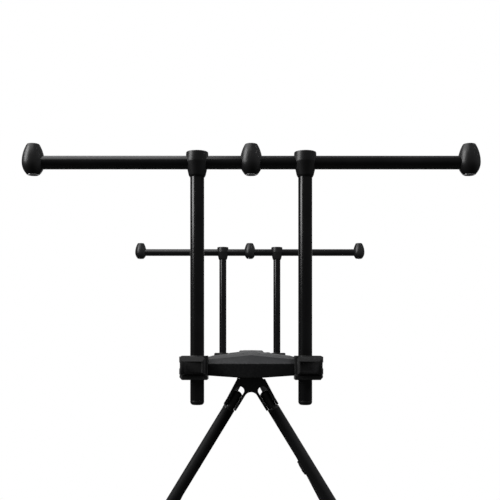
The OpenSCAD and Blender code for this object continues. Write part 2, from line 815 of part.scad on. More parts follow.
module leg_bracket(rear) {
    lean = splay(rear);
    hub_half = cheek_r + hub_step;
    inner_apex = -apex_drop - arm_half / sin(lean);
    arch_r = (inner_apex - arch_z) * sin(lean) / (1 - sin(lean));
    arch_mid = arch_z - arch_r;
    foot_x = arch_r * cos(lean) + 2;
    foot_z = arch_mid + arch_r * sin(lean);
    color(casting) difference() {
        union() {
            at_end(rear) along_y(bracket_back - hub_half, bracket_back + hub_half) polygon([
                [-neck_half, sleeve_low], [-neck_half, neck_low], [-foot_x, foot_z], [foot_x, foot_z],
                [neck_half, neck_low], [neck_half, sleeve_low]
            ]);
            intersection() {
                union() for (side = [LEFT, RIGHT]) at_leg(rear, side) {
                    along_y(-cheek_r, cheek_r) arm_plan();
                    rod_x(-arm_half, arm_half, cheek_r);
                }
                at_end(rear) translate([-far, 0, neck_low - far]) cube([2 * far, far, far]);
            }
        }
        for (side = [LEFT, RIGHT]) at_leg(rear, side) {
            translate([0, 0, pin_reach - slot_reach]) rod_y(-bracket_t, bracket_t, slot_w / 2);
            translate([-slot_w / 2, -bracket_t, -bracket_t])
                cube([slot_w, 2 * bracket_t, bracket_t + pin_reach - slot_reach]);
            rod_x(-bracket_t, bracket_t, pin_d / 2 + fixed_gap);
        }
        at_end(rear) translate([0, 0, arch_mid]) rod_y(0, 2 * bracket_back, arch_r + 0.05);
        at_end(rear) translate([0, bracket_back, 0]) {
            translate([0, 0, arch_z - 5]) cylinder(d = bracket_bolt_d + 0.4, h = far);
            translate([0, 0, bracket_seat - far]) cylinder(r = bracket_bolt_head_r + 0.3, h = far);
        }
    }
}

// The bracket bolt with its nut, the two clamp screws and the two leg pins of one end.
module bracket_hardware(rear) {
    floor_z = rear ? spine_z - inner_h / 2 + inner_wall : sleeve_low + sleeve_floor + spine_wall;
    bolt_len = floor_z + bracket_nut_h + 1 - bracket_seat;
    color(steel) {
        at_end(rear) translate([0, bracket_back, 0]) {
            difference() {
                union() {
                    translate([0, 0, bracket_seat]) cylinder(d = bracket_bolt_d, h = bolt_len);
                    translate([0, 0, bracket_seat - bracket_bolt_head_h])
                        cylinder(r = bracket_bolt_head_r, h = bracket_bolt_head_h);
                }
                translate([0, 0, bracket_seat - bracket_bolt_head_h - 1]) cylinder(d = 5.6, h = 4, $fn = 6);
            }
            translate([0, 0, floor_z]) difference() {
                cylinder(r = 5.2, h = bracket_nut_h, $fn = 6);
                translate([0, 0, -1]) cylinder(d = bracket_bolt_d + 2 * fixed_gap, h = bracket_nut_h + 2);
            }
        }
        for (side = [LEFT, RIGHT]) {
            at_end(rear) on_side(side)
                translate([wing_half - clamp_spigot / 2, spigot_mid_y, spigot_low - 1]) {
                    cylinder(d = screw_d - 2 * fixed_gap, h = 8);
                    translate([0, 0, -screw_head_h]) cylinder(r = screw_head_r, h = screw_head_h);
                }
            at_leg(rear, side) rod_x(-arm_half, arm_half, pin_d / 2);
        }
    }
}

// Leg pieces

module hinge_plug(rear, side) {
    dome = tongue_reach - nose_r;
    color(plastic) at_leg(rear, side) difference() {
        union() {
            intersection() {
                translate([0, 0, dome - 2]) cylinder(r = tongue_r, h = nose_r + 3);
                translate([0, 0, dome]) sphere(nose_r);
            }
            translate([0, 0, -plug_top - 1]) cylinder(r = tongue_r, h = plug_top + 1 + dome);
            translate([0, 0, -tube_top]) cylinder(r = leg_r, h = shoulder_t);
            translate([0, 0, -tube_top - hinge_spigot])
                cylinder(r = leg_r - leg_wall - fixed_gap, h = hinge_spigot + 1);
        }
        rod_x(-leg_d, leg_d, pin_d / 2 + slide_gap);
    }
}

module upper_leg(rear, side) {
    color(tube) at_leg(rear, side) translate([0, 0, -tube_top - upper_len]) difference() {
        cylinder(r = leg_r, h = upper_len);
        translate([0, 0, -1]) cylinder(r = leg_r - leg_wall, h = upper_len + 2);
    }
}

// Half outline of a twist-lock collar, from its lower end at z = 0.
module collar_outline() {
    edge = 1.4;
    lip = lower_d / 2 + 2.2;
    polygon([
        [0, 0], [lip, 0], [collar_r, collar_len * 0.35], [collar_r, collar_len - edge],
        [collar_r - edge, collar_len], [0, collar_len]
    ]);
}

module twist_collar(rear, side) {
    step = tube_top + upper_len;
    flute_r = 1.1;
    color(plastic) at_leg(rear, side) difference() {
        translate([0, 0, -collar_top - collar_len]) rotate_extrude() collar_outline();
        translate([0, 0, -step - swing_gap]) cylinder(r = leg_r + slide_gap, h = upper_len);
        translate([0, 0, -step - 2 * collar_len]) cylinder(r = lower_d / 2 + slide_gap, h = 3 * collar_len);
        for (i = [0 : flute_count - 1]) rotate([0, 0, i * 360 / flute_count])
            translate([collar_r + 0.4, 0, -collar_top - collar_len * 0.6])
                cylinder(r = flute_r, h = collar_len * 0.45);
    }
}

module lower_leg(rear, side) {
    tip = leg_reach(rear) - foot_tip;
    color(tube) at_leg(rear, side) translate([0, 0, -tip]) difference() {
        cylinder(d = lower_d, h = lower_len);
        translate([0, 0, -1]) cylinder(d = lower_d - 2 * lower_wall, h = lower_len + 2);
    }
}

module foot(rear, side) {
    sleeve_r = lower_d / 2 + foot_wall;
    color(rubber) intersection() {
        at_leg(rear, side) translate([0, 0, -leg_reach(rear)]) difference() {
            union() {
                sphere(foot_r);
                cylinder(r = sleeve_r, h = foot_sleeve);
                cylinder(r1 = foot_r - 0.4, r2 = sleeve_r, h = foot_sleeve * 0.6);
            }
            translate([0, 0, foot_tip]) cylinder(d = lower_d + 2 * fixed_gap, h = foot_sleeve);
        }
        translate([-bar_gap, -bar_gap, 0]) cube(2 * bar_gap);
    }
}

spine_outer_tube();
spine_inner_tube();
spine_lock_collar();
spine_lock_knob();
for (rear = [false, true]) {
    end = rear ? "rear" : "front";
    head(rear);
    leg_bracket(rear);
    clamp_hardware(rear);
    bracket_hardware(rear);
    bar(rear);
    thread_inserts(rear);
    upright_plugs(rear);
    rest_housing(rear, 0);
    for (side = [LEFT, RIGHT]) {
        place = str(end, side == LEFT ? "_left" : "_right");
        clamp(rear, side);
        lever(rear, side);
        upright(rear, side);
        tee(rear, side);
        rest_housing(rear, side);
        hinge_plug(rear, side);
        upper_leg(rear, side);
        twist_collar(rear, side);
        lower_leg(rear, side);
        foot(rear, side);
    }
}
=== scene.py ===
"""Studio scene of a three-rod fishing pod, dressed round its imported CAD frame.

X runs across the pod, Y from the front bar to the rear bar, and Z up from the ground.
Pieces have their sizes in millimetres and degrees, the studio has its own in metres, and
meshes are in metres, in the frame of the CAD model.
"""

import logging
import math
from dataclasses import dataclass
from enum import Enum
from typing import Any, Sequence

import bmesh
import bpy
from mathutils import Matrix, Vector
from mathutils.bvhtree import BVHTree

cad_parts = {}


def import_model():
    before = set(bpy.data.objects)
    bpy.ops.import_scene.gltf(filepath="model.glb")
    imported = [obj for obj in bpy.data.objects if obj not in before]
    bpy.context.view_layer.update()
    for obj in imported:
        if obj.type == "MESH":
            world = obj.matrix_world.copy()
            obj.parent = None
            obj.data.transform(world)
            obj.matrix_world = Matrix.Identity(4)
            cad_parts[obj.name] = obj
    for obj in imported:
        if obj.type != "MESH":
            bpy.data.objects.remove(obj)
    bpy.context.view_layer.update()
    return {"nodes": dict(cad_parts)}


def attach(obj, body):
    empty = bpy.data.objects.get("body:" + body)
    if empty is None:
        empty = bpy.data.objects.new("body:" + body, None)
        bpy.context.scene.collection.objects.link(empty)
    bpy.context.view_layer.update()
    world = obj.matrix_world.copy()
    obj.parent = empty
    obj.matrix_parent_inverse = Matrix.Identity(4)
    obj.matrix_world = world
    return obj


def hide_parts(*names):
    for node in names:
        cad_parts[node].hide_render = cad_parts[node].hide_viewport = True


Colour = tuple[float, float, float]
Point = tuple[float, float, float]
Outline = list[tuple[float, float]]
Socket = bpy.types.NodeSocket

LOG = logging.getLogger("rod_pod")
MM = 0.001
# Room between a bore and what sits in it.
FIT = 0.03
# Angles above which an edge stays sharp, on most pieces and on drilled or rounded ones.
CREASE = 32.0
SOFT_CREASE = 40.0


class End(Enum):
    """The two ends of the pod."""

    FRONT = "front"
    REAR = "rear"


class Side(Enum):
    """The two sides of the pod, as seen from its front."""

    LEFT = "left"
    RIGHT = "right"

    @property
    def sign(self) -> int:
        """-1 on the left and 1 on the right."""
        return -1 if self is Side.LEFT else 1


class Rest(Enum):
    """The three rests on a bar, by how many gaps they stand from its middle."""

    LEFT = -1
    CENTRE = 0
    RIGHT = 1


class Slot(Enum):
    """The record's material slots."""

    TUBE = "black_tube"
    MOULDED = "moulded_black"
    HOUSING = "rest_housing"
    LEVER = "lever_black"
    COLLAR = "collar_black"
    HEAD = "head_casting"
    BRACKET = "bracket_casting"
    INSERT = "thread_insert"
    STEEL = "steel"
    RUBBER = "rubber"


def shift(x: float = 0.0, y: float = 0.0, z: float = 0.0) -> Matrix:
    """A frame moved away from the origin."""
    return Matrix.Translation((x, y, z))


@dataclass(frozen=True)
class Layout:
    """Where the pod's pieces stand."""

    bar_gap: float = 850.0
    upright_gap: float = 108.0
    clamp_height: float = 335.0
    front_bar_rise: float = 205.0
    rear_bar_rise: float = 212.5
    housing_gap: float = 218.0
    bracket_back: float = 25.0
    apex_drop: float = 5.0
    pin_reach: float = 35.7
    front_splay: float = 31.4
    rear_splay: float = 27.5

    def at_end(self, end: End) -> Matrix:
        """The frame between an end's uprights, with +Y towards the pod's middle."""
        inwards = 1.0 if end is End.FRONT else -1.0
        return self.mirror(y=inwards) @ shift(y=-self.bar_gap / 2, z=self.clamp_height)

    def at_side(self, end: End, side: Side) -> Matrix:
        """An end's frame with +X outwards on the given side."""
        return self.at_end(end) @ self.mirror(x=float(side.sign))

    def at_upright(self, end: End, side: Side) -> Matrix:
        """The frame on an upright's axis, at the clamps' middle."""
        return self.at_side(end, side) @ shift(x=self.upright_gap / 2)

    def at_bar(self, end: End) -> Matrix:
        """The frame on the middle of an end's bar."""
        return self.at_end(end) @ shift(z=self.bar_rise(end))

    def at_leg(self, end: End, side: Side) -> Matrix:
        """The frame on a leg's hinge pin, with -Z down the leg.

        Args:
            end: the leg's end of the pod.
            side: its side.

        Returns:
            The frame.
        """
        apex = shift(y=self.bracket_back, z=-self.apex_drop)
        lean = Matrix.Rotation(math.radians(-self.splay(end)), 4, "Y")
        return self.at_side(end, side) @ apex @ lean @ shift(z=-self.pin_reach)

    def bar_rise(self, end: End) -> float:
        """Height of an end's bar above the clamps' middle."""
        return self.front_bar_rise if end is End.FRONT else self.rear_bar_rise

    def splay(self, end: End) -> float:
        """Lean of an end's legs from upright."""
        return self.front_splay if end is End.FRONT else self.rear_splay

    @staticmethod
    def mirror(x: float = 1.0, y: float = 1.0) -> Matrix:
        """A frame mirrored where a value is -1."""
        return Matrix.Diagonal((x, y, 1.0, 1.0))


LAYOUT = Layout()
ACROSS = Matrix.Rotation(math.pi / 2, 4, "Y")
UP = Vector((0.0, 0.0, 1.0))


def rounded(corners: Sequence[Point], steps: int = 5, closed: bool = False) -> Outline:
    """Rounds the corners of an outline.

    Args:
        corners: x, y and radius of each corner, in order.
        steps: number of straight pieces in each round corner.
        closed: whether the last corner joins the first.

    Returns:
        The points of the rounded outline.
    """
    most_of_side = 0.98
    least_angle = 0.05
    points: Outline = []
    count = len(corners)
    for i, (x, y, radius) in enumerate(corners):
        if radius <= 0 or (not closed and i in (0, count - 1)):
            points.append((x, y))
            continue
        here = Vector((x, y))
        sides = []
        for x2, y2, near in (corners[i - 1], corners[(i + 1) % count]):
            sides.append((Vector((x2, y2)) - here, most_of_side * radius / (radius + near)))
        half = max(sides[0][0].angle(sides[1][0]), least_angle) / 2
        reach = radius / math.tan(half)
        start, end = (here + s.normalized() * min(reach, s.length * share) for s, share in sides)
        for k in range(steps + 1):
            t = k / steps
            p = start * (1 - t) ** 2 + here * 2 * t * (1 - t) + end * t**2
            points.append((p.x, p.y))
    return points


def barrel(widest: float, curve: float, low: float, high: float) -> Outline:
    """A round stretch of a turned outline, widest at z = 0.

    Args:
        widest: radius of the piece at its widest place.
        curve: radius of the stretch itself.
        low: height at which the stretch starts.
        high: height at which it ends.

    Returns:
        Points of radius and height.
    """
    steps = 14
    heights = [low + (high - low) * k / steps for k in range(steps + 1)]
    return [(widest - curve + math.sqrt(curve**2 - z**2), z) for z in heights]


def tube_outline(radius: float, wall: float, length: float, lip: float) -> Outline:
    """The closed outline of a tube from z = 0 upwards.

    Args:
        radius: outside radius.
        wall: thickness.
        length: length along Z.
        lip: rounding of its ends.

    Returns:
        Points of radius and height.
    """
    inside = radius - wall
    corners = [(radius, 0.0), (radius, length), (inside, length), (inside, 0.0)]
    return rounded([(*corner, lip) for corner in corners], 4, True)


class Form:
    """Vertices and faces of a piece in millimetres, before it becomes a mesh."""

    def __init__(self) -> None:
        """Starts with nothing."""
        self.points: list[Vector] = []
        self.faces: list[list[int]] = []

    def add(
        self, points: Sequence[Vector], faces: Sequence[Sequence[int]], place: Matrix
    ) -> "Form":
        """Adds points and faces at a place.

        Args:
            points: positions in the place's own frame.
            faces: indices into the points.
            place: frame to put them in.

        Returns:
            This form.
        """
        start = len(self.points)
        self.points += [place @ p for p in points]
        self.faces += [[start + i for i in face] for face in faces]
        return self

    def skin(self, rings: Sequence[Sequence[Vector]], place: Matrix, closed: bool) -> "Form":
        """Adds a skin over rings of equally many points.

        Args:
            rings: the rings, in order.
            place: frame to put them in.
            closed: whether the last ring joins the first.

        Returns:
            This form.
        """
        count = len(rings[0])
        faces = []
        for i in range(len(rings) if closed else len(rings) - 1):
            j = (i + 1) % len(rings)
            for k in range(count):
                n = (k + 1) % count
                faces.append([i * count + k, i * count + n, j * count + n, j * count + k])
        return self.add([p for ring in rings for p in ring], faces, place)

    def turn(
        self, outline: Outline, place: Matrix, closed: bool = False, segments: int = 72
    ) -> "Form":
        """Adds an outline of radius and height turned round the place's Z axis.

        Args:
            outline: points of radius and height.
            place: frame whose Z axis is the turning axis.
            closed: whether the last point joins the first, for a ring.
            segments: number of pieces round the axis.

        Returns:
            This form.
        """
        angles = [2 * math.pi * k / segments for k in range(segments)]
        round_axis = [(math.cos(a), math.sin(a)) for a in angles]
        rings = [[Vector((r * x, r * y, z)) for x, y in round_axis] for r, z in outline]
        return self.skin(rings, place, closed)

    def to_object(self, name: str, crease: float = CREASE) -> bpy.types.Object:
        """Makes a closed, outward-facing mesh object of the form.

        Args:
            name: name of the new object.
            crease: angle above which an edge stays sharp.

        Returns:
            The object, linked to the scene.
        """
        same_point = 1e-7
        no_length = 1e-8
        mesh = bpy.data.meshes.new(name)
        mesh.from_pydata([p * MM for p in self.points], [], self.faces)
        shell = bmesh.new()
        shell.from_mesh(mesh)
        bmesh.ops.remove_doubles(shell, verts=shell.verts, dist=same_point)
        bmesh.ops.dissolve_degenerate(shell, edges=shell.edges, dist=no_length)
        bmesh.ops.recalc_face_normals(shell, faces=shell.faces)
        shell.to_mesh(mesh)
        shell.free()
        smooth(mesh, crease)
        return linked(name, mesh)


def smooth(mesh: bpy.types.Mesh, crease: float = CREASE) -> None:
    """Shades a mesh smooth between edges sharper than the crease angle."""
    mesh.shade_smooth()
    mesh.set_sharp_from_angle(angle=math.radians(crease))


def linked(name: str, data: bpy.types.ID) -> bpy.types.Object:
    """Puts a mesh, lamp or camera in the scene.

    Args:
        name: name of the object.
        data: what the object holds.

    Returns:
        The object.
    """
    made = bpy.data.objects.new(name, data)
    bpy.context.scene.collection.objects.link(made)
    return made


def applied(piece: bpy.types.Object) -> bpy.types.Mesh:
    """A new mesh of a piece, with its live modifiers applied."""
    graph = bpy.context.evaluated_depsgraph_get()
    return bpy.data.meshes.new_from_object(piece.evaluated_get(graph))


def settled(piece: bpy.types.Object, crease: float = CREASE) -> bpy.types.Object:
    """Turns a piece's modifiers into plain mesh.

    Args:
        piece: the object with live modifiers.
        crease: angle above which an edge stays sharp.

    Returns:
        The same object with no modifiers left.
    """
    mesh = applied(piece)
    piece.modifiers.clear()
    piece.data = mesh
    smooth(mesh, crease)
    return piece


def turned(
    name: str, outline: Outline, places: Sequence[Matrix], closed: bool, crease: float = CREASE
) -> bpy.types.Object:
    """Makes a turned piece, once at each place.

    Args:
        name: name of the new object.
        outline: points of radius and height.
        places: frames whose Z axes are the turning axes.
        closed: whether the last point joins the first, for a ring.
        crease: angle above which an edge stays sharp.

    Returns:
        The object.
    """
    form = Form()
    for place in places:
        form.turn(outline, place, closed)
    return form.to_object(name, crease)


def bore(
    piece: bpy.types.Object, places: Sequence[Matrix], radius: float, low: float, high: float
) -> None:
    """Drills round holes in a piece.

    Args:
        piece: the mesh object.
        places: frames whose Z axes are the holes' axes.
        radius: radius of the holes.
        low: where each hole starts along its axis.
        high: where it ends.
    """
    outline = [(0.0, low), (radius, low), (radius, high), (0.0, high)]
    cutter = turned("drill", outline, places, False)
    cut = piece.modifiers.new("bore", "BOOLEAN")
    cut.operation = "DIFFERENCE"
    cut.solver = "EXACT"
    cut.object = cutter
    settled(piece, SOFT_CREASE)
    bpy.data.objects.remove(cutter)


@dataclass(frozen=True)
class Rounding:
    """Rounds the edges of a CAD node's copy, each as far as the faces beside it leave room."""

    width: float
    segments: int = 3
    sharp_bend: float = 24.0
    slim_corner: float = 20.0
    straight_on: float = 135.0
    side_share: float = 0.45
    length_share: float = 0.9
    stray_share: float = 0.4
    least_need: float = 0.001
    same_point: float = 0.002
    flat_bend: float = 0.6

    def share(self, shell: bmesh.types.BMesh) -> None:
        """Gives each sharp edge its share of the rounding.

        Edges that run on into each other take the least of their room.

        Args:
            shell: the mesh, whose edges get their shares.
        """
        limits = (self.sharp_bend, self.slim_corner, self.straight_on)
        bend, slim, straight = (math.radians(angle) for angle in limits)
        full = self.width * MM
        layer = shell.edges.layers.float.new("bevel_weight_edge")
        room = {line: full for line in shell.edges if line.calc_face_angle(0.0) > bend}
        runs_on = {line: [] for line in room}
        for loop in (loop for line in room for loop in line.link_loops):
            last = loop.link_loop_next
            line = loop.edge
            needs = self.least_need
            for corner, near in ((loop, loop.link_loop_prev.edge), (last, last.edge)):
                angle = corner.calc_angle()
                if angle > straight:
                    runs_on[line] += [near] if near in room else []
                elif corner.is_convex:
                    beside = self.side_share * near.calc_length() * math.sin(angle)
                    room[line] = min(room[line], beside)
                    needs += 1 / math.tan(angle / 2) if near in room else 0.0
                    room[line] *= near not in room or angle > slim
            room[line] = min(room[line], self.length_share * line.calc_length() / needs)
        for line in sorted(room, key=room.get):
            waiting = [line]
            while waiting:
                here = waiting.pop()
                for near in runs_on[here]:
                    if room[near] > room[here]:
                        room[near] = room[here]
                        waiting.append(near)
            line[layer] = room[line] / full

    def copy(self, name: str, node: bpy.types.Object) -> bpy.types.Object:
        """A copy of a CAD node with its faces joined and its edges rounded.

        Args:
            name: name of the new object.
            node: the CAD node.

        Returns:
            The new object.
        """
        mesh = bpy.data.meshes.new(name)
        shell = bmesh.new()
        shell.from_mesh(node.data)
        bmesh.ops.remove_doubles(shell, verts=shell.verts, dist=self.same_point * MM)
        flat = math.radians(self.flat_bend)
        bmesh.ops.dissolve_limit(shell, angle_limit=flat, verts=shell.verts, edges=shell.edges)
        self.share(shell)
        shell.to_mesh(mesh)
        skin = BVHTree.FromBMesh(shell)
        shell.free()
        smooth(mesh)
        piece = linked(name, mesh)
        bevel = piece.modifiers.new("edges", "BEVEL")
        bevel.width = self.width * MM
        bevel.segments = self.segments
        bevel.limit_method = "WEIGHT"
        bevel.miter_outer = "MITER_ARC"
        bevel.use_clamp_overlap = False
        settled(piece)
        for vert in piece.data.vertices:
            spot, _, _, gap = skin.find_nearest(vert.co)
            if gap > self.stray_share * self.width * MM:
                vert.co = spot
        even = piece.modifiers.new("normals", "WEIGHTED_NORMAL")
        even.keep_sharp = True
        return settled(piece)


def mark_edges(piece: bpy.types.Object) -> None:
    """Stores how sharply each vertex stands out, for wear along the edges.

    Args:
        piece: the mesh object.
    """
    least_bend = 0.2
    full_bend = 1.6
    shell = bmesh.new()
    shell.from_mesh(piece.data)
    bends = [0.0] * len(shell.verts)
    for edge in shell.edges:
        bend = edge.calc_face_angle_signed(0.0) if len(edge.link_faces) == 2 else 0.0
        if bend > least_bend:
            for vert in edge.verts:
                bends[vert.index] += bend
    shell.free()
    store = piece.data.attributes.new("edge", "FLOAT", "POINT")
    store.data.foreach_set("value", [min(bend / full_bend, 1.0) for bend in bends])


class Graph:
    """A node tree, built with short calls."""

    def __init__(self, tree: bpy.types.NodeTree) -> None:
        """Takes the tree to build in."""
        self.tree = tree

    def node(
        self, kind: str, inputs: dict[Any, Any] | None = None, **settings: Any
    ) -> bpy.types.Node:
        """Adds a node.

        Args:
            kind: type of the node.
            inputs: value or output socket for each input, by name or number.
            settings: properties of the node.

        Returns:
            The node.
        """
        made = self.tree.nodes.new(kind)
        for key, value in settings.items():
            setattr(made, key, value)
        self.feed(made, inputs or {})
        return made

    def feed(self, node: bpy.types.Node, inputs: dict[Any, Any]) -> None:
        """Sets or links the inputs of a node.

        Args:
            node: the node.
            inputs: value or output socket for each input, by name or number.
        """
        for key, value in inputs.items():
            if isinstance(value, Socket):
                self.tree.links.new(value, node.inputs[key])
            else:
                node.inputs[key].default_value = value

    def math(self, operation: str, a: Any, b: Any) -> Socket:
        """A sum, product or the like of two values."""
        return self.node("ShaderNodeMath", {0: a, 1: b}, operation=operation).outputs[0]

    def span(
        self, value: Socket, low: float, high: float, start: float = 0.3, end: float = 0.7
    ) -> Socket:
        """Maps a value to a range.

        Args:
            value: the value.
            low: result at the start.
            high: result at the end.
            start: value that gives the low result.
            end: value that gives the high result.

        Returns:
            The socket of the result.
        """
        inputs = {"Value": value, "From Min": start, "From Max": end, "To Min": low, "To Max": high}
        return self.node("ShaderNodeMapRange", inputs).outputs[0]


class Shader(Graph):
    """A material with a Principled shader on Object coordinates."""

    def __init__(self, name: str) -> None:
        """Starts the material.

        Args:
            name: name of the material.
        """
        self.material = bpy.data.materials.new(name)
        self.material.use_nodes = True
        super().__init__(self.material.node_tree)
        self.surface = self.tree.nodes["Principled BSDF"]
        self.coords = self.node("ShaderNodeTexCoord").outputs["Object"]

    def along(self, axis: Point, stretch: float) -> Socket:
        """Object coordinates drawn out along an axis.

        Args:
            axis: direction of the draw lines.
            stretch: how many times longer than wide the pattern is.

        Returns:
            The socket of the coordinates.
        """
        turn = UP.rotation_difference(Vector(axis)).to_euler()
        inputs = {"Vector": self.coords, "Rotation": turn, "Scale": (1.0, 1.0, stretch)}
        return self.node("ShaderNodeMapping", inputs, vector_type="TEXTURE").outputs[0]

    def noise(self, scale: float, detail: float, at: Socket | None = None) -> Socket:
        """A noise pattern.

        Args:
            scale: number of grains in a metre.
            detail: number of finer layers.
            at: coordinates, or Object coordinates if left out.

        Returns:
            The socket of its strength.
        """
        inputs = {"Vector": at or self.coords, "Scale": scale, "Detail": detail}
        return self.node("ShaderNodeTexNoise", inputs).outputs[0]

    def mixed(self, share: Socket, a: Any, b: Any) -> Socket:
        """A colour between two colours.

        Args:
            share: how much of the second colour.
            a: first colour or socket.
            b: second colour or socket.

        Returns:
            The socket of the colour.
        """
        pair = [c if isinstance(c, Socket) else (*c, 1.0) for c in (a, b)]
        made = self.node("ShaderNodeMix", data_type="RGBA")
        self.feed(made, {0: share, 6: pair[0], 7: pair[1]})
        return made.outputs[2]

    def worn_edges(self, grain: float, most: float) -> Socket:
        """Patches along the edges where a finish has rubbed.

        Args:
            grain: number of patches in a metre.
            most: strength of the deepest wear.

        Returns:
            The socket of the wear's strength.
        """
        edge = self.node("ShaderNodeAttribute", attribute_name="edge").outputs["Fac"]
        patches = self.span(self.noise(grain, 3.0), 0.0, most, 0.42, 0.68)
        return self.math("MULTIPLY", edge, patches)

    def bump(self, height: Socket, depth: float, under: Socket | None = None) -> Socket:
        """A bumpy normal.

        Args:
            height: the pattern.
            depth: depth of the pattern in millimetres.
            under: normal to add it to.

        Returns:
            The socket of the normal.
        """
        inputs = {"Height": height, "Distance": depth * MM, "Strength": 1.0}
        made = self.node("ShaderNodeBump", inputs)
        if under is not None:
            self.feed(made, {"Normal": under})
        return made.outputs[0]


@dataclass(frozen=True)
class Finish:
    """A surface finish: its material's name and the record's slot that it fills."""

    name: str
    slot: Slot

    def make(self) -> bpy.types.Material:
        """Builds the material.

        Returns:
            The material.
        """
        shader = Shader(self.name)
        shader.feed(shader.surface, self.inputs(shader))
        return shader.material

    def inputs(self, shader: Shader) -> dict[str, Any]:
        """What each input of the shader takes."""
        raise NotImplementedError


@dataclass(frozen=True)
class CoatFinish(Finish):
    """A dark finish in two shades, paler where its edges are rubbed.

    A cloud is its grains in a metre and its finer layers, the wear is its patches in a metre
    and its strength, and the play is how far the roughness goes down and up.
    """

    dark: Colour
    light: Colour
    rubbed: Colour
    roughness: float
    shine: float
    cloud: tuple[float, float]
    wear: tuple[float, float]
    play: tuple[float, float]

    def inputs(self, shader: Shader) -> dict[str, Any]:
        """What each input of the shader takes.

        Args:
            shader: the material's shader.

        Returns:
            A value or socket for each input, by name.
        """
        gloss, normal = self.relief(shader)
        shade = shader.span(shader.noise(*self.cloud), 0.0, 1.0)
        colour = shader.mixed(shade, self.dark, self.light)
        smoother, rougher = self.play
        return {
            "Base Color": shader.mixed(shader.worn_edges(*self.wear), colour, self.rubbed),
            "Roughness": shader.span(gloss, self.roughness - smoother, self.roughness + rougher),
            "Specular IOR Level": self.shine,
            "Normal": normal,
        }

    def relief(self, shader: Shader) -> tuple[Socket, Socket]:
        """The pattern of the gloss, and the bumpy normal."""
        raise NotImplementedError


@dataclass(frozen=True)
class TubeFinish(CoatFinish):
    """Black anodised tube with faint draw lines along it."""

    slot: Slot = Slot.TUBE
    dark: Colour = (0.0036, 0.0036, 0.0039)
    light: Colour = (0.0068, 0.0068, 0.0072)
    rubbed: Colour = (0.12, 0.12, 0.125)
    roughness: float = 0.2
    shine: float = 0.5
    cloud: tuple[float, float] = (28.0, 3.0)
    wear: tuple[float, float] = (900.0, 0.4)
    play: tuple[float, float] = (0.03, 0.07)
    axis: Point = (0.0, 0.0, 1.0)
    lines: float = 1400.0
    line_stretch: float = 60.0
    line_depth: float = 0.004

    def relief(self, shader: Shader) -> tuple[Socket, Socket]:
        """The draw lines."""
        lines = shader.noise(self.lines, 2.0, shader.along(self.axis, self.line_stretch))
        return lines, shader.bump(lines, self.line_depth)


@dataclass(frozen=True)
class MouldedFinish(CoatFinish):
    """Black moulded plastic with a fine spark-eroded grain and paler rubbed edges."""

    dark: Colour = (0.007, 0.007, 0.0073)
    light: Colour = (0.011, 0.011, 0.0113)
    rubbed: Colour = (0.05, 0.05, 0.052)
    roughness: float = 0.4
    shine: float = 0.45
    cloud: tuple[float, float] = (60.0, 3.0)
    wear: tuple[float, float] = (700.0, 0.6)
    play: tuple[float, float] = (0.06, 0.08)
    grain: float = 2600.0
    grain_depth: float = 0.02

    def relief(self, shader: Shader) -> tuple[Socket, Socket]:
        """The grain."""
        fine = shader.noise(self.grain, 3.0)
        return fine, shader.bump(fine, self.grain_depth)


@dataclass(frozen=True)
class CastFinish(CoatFinish):
    """Powder-coated casting with a slight orange peel."""

    rubbed: Colour = (0.11, 0.11, 0.115)
    roughness: float = 0.4
    shine: float = 0.5
    cloud: tuple[float, float] = (45.0, 2.0)
    wear: tuple[float, float] = (520.0, 0.5)
    play: tuple[float, float] = (0.05, 0.07)
    peel: float = 620.0
    peel_depth: float = 0.02
    grain: float = 3400.0
    grain_depth: float = 0.006

    def relief(self, shader: Shader) -> tuple[Socket, Socket]:
        """The grain, and the grain on the orange peel.

        Args:
            shader: the material's shader.

        Returns:
            The pattern of the gloss, and the bumpy normal.
        """
        peel = shader.bump(shader.noise(self.peel, 1.0), self.peel_depth)
        fine = shader.noise(self.grain, 2.0)
        return fine, shader.bump(fine, self.grain_depth, peel)


@dataclass(frozen=True)
class MetalFinish(Finish):
    """Bare turned metal with fine tool rings and dull patches."""

    dark: Colour
    light: Colour
    roughness: float
    rings: float = 2200.0
    ring_stretch: float = 6.0
    ring_depth: float = 0.004

    def inputs(self, shader: Shader) -> dict[str, Any]:
        """What each input of the shader takes.

        Args:
            shader: the material's shader.

        Returns:
            A value or socket for each input, by name.
        """
        rings = shader.noise(self.rings, 1.0, shader.along((1.0, 0.0, 0.0), self.ring_stretch))
        cloud = shader.noise(160.0, 3.0)
        return {
            "Base Color": shader.mixed(shader.span(cloud, 0.0, 1.0), self.dark, self.light),
            "Roughness": shader.span(cloud, self.roughness - 0.06, self.roughness + 0.12),
            "Metallic": 1.0,
            "Normal": shader.bump(rings, self.ring_depth),
        }


@dataclass(frozen=True)
class RubberFinish(Finish):
    """Matt black rubber, dusty where it meets the ground."""

    dark: Colour = (0.011, 0.011, 0.011)
    light: Colour = (0.02, 0.0195, 0.019)
    dust: Colour = (0.075, 0.068, 0.058)
    dust_top: float = 11.0
    dust_most: float = 0.7
    grain: float = 1800.0
    grain_depth: float = 0.04

    def inputs(self, shader: Shader) -> dict[str, Any]:
        """What each input of the shader takes.

        Args:
            shader: the material's shader.

        Returns:
            A value or socket for each input, by name.
        """
        fine = shader.noise(self.grain, 4.0)
        cloud = shader.noise(120.0, 4.0)
        height = shader.node("ShaderNodeSeparateXYZ", {0: shader.coords}).outputs[2]
        low = shader.span(height, self.dust_most, 0.0, 0.0, self.dust_top * MM)
        dusty = shader.math("MULTIPLY", low, shader.span(cloud, 0.0, 1.0, 0.38, 0.66))
        colour = shader.mixed(shader.span(cloud, 0.0, 1.0), self.dark, self.light)
        return {
            "Base Color": shader.mixed(dusty, colour, self.dust),
            "Roughness": shader.span(fine, 0.68, 0.88),
            "Specular IOR Level": 0.3,
            "Normal": shader.bump(fine, self.grain_depth),
        }


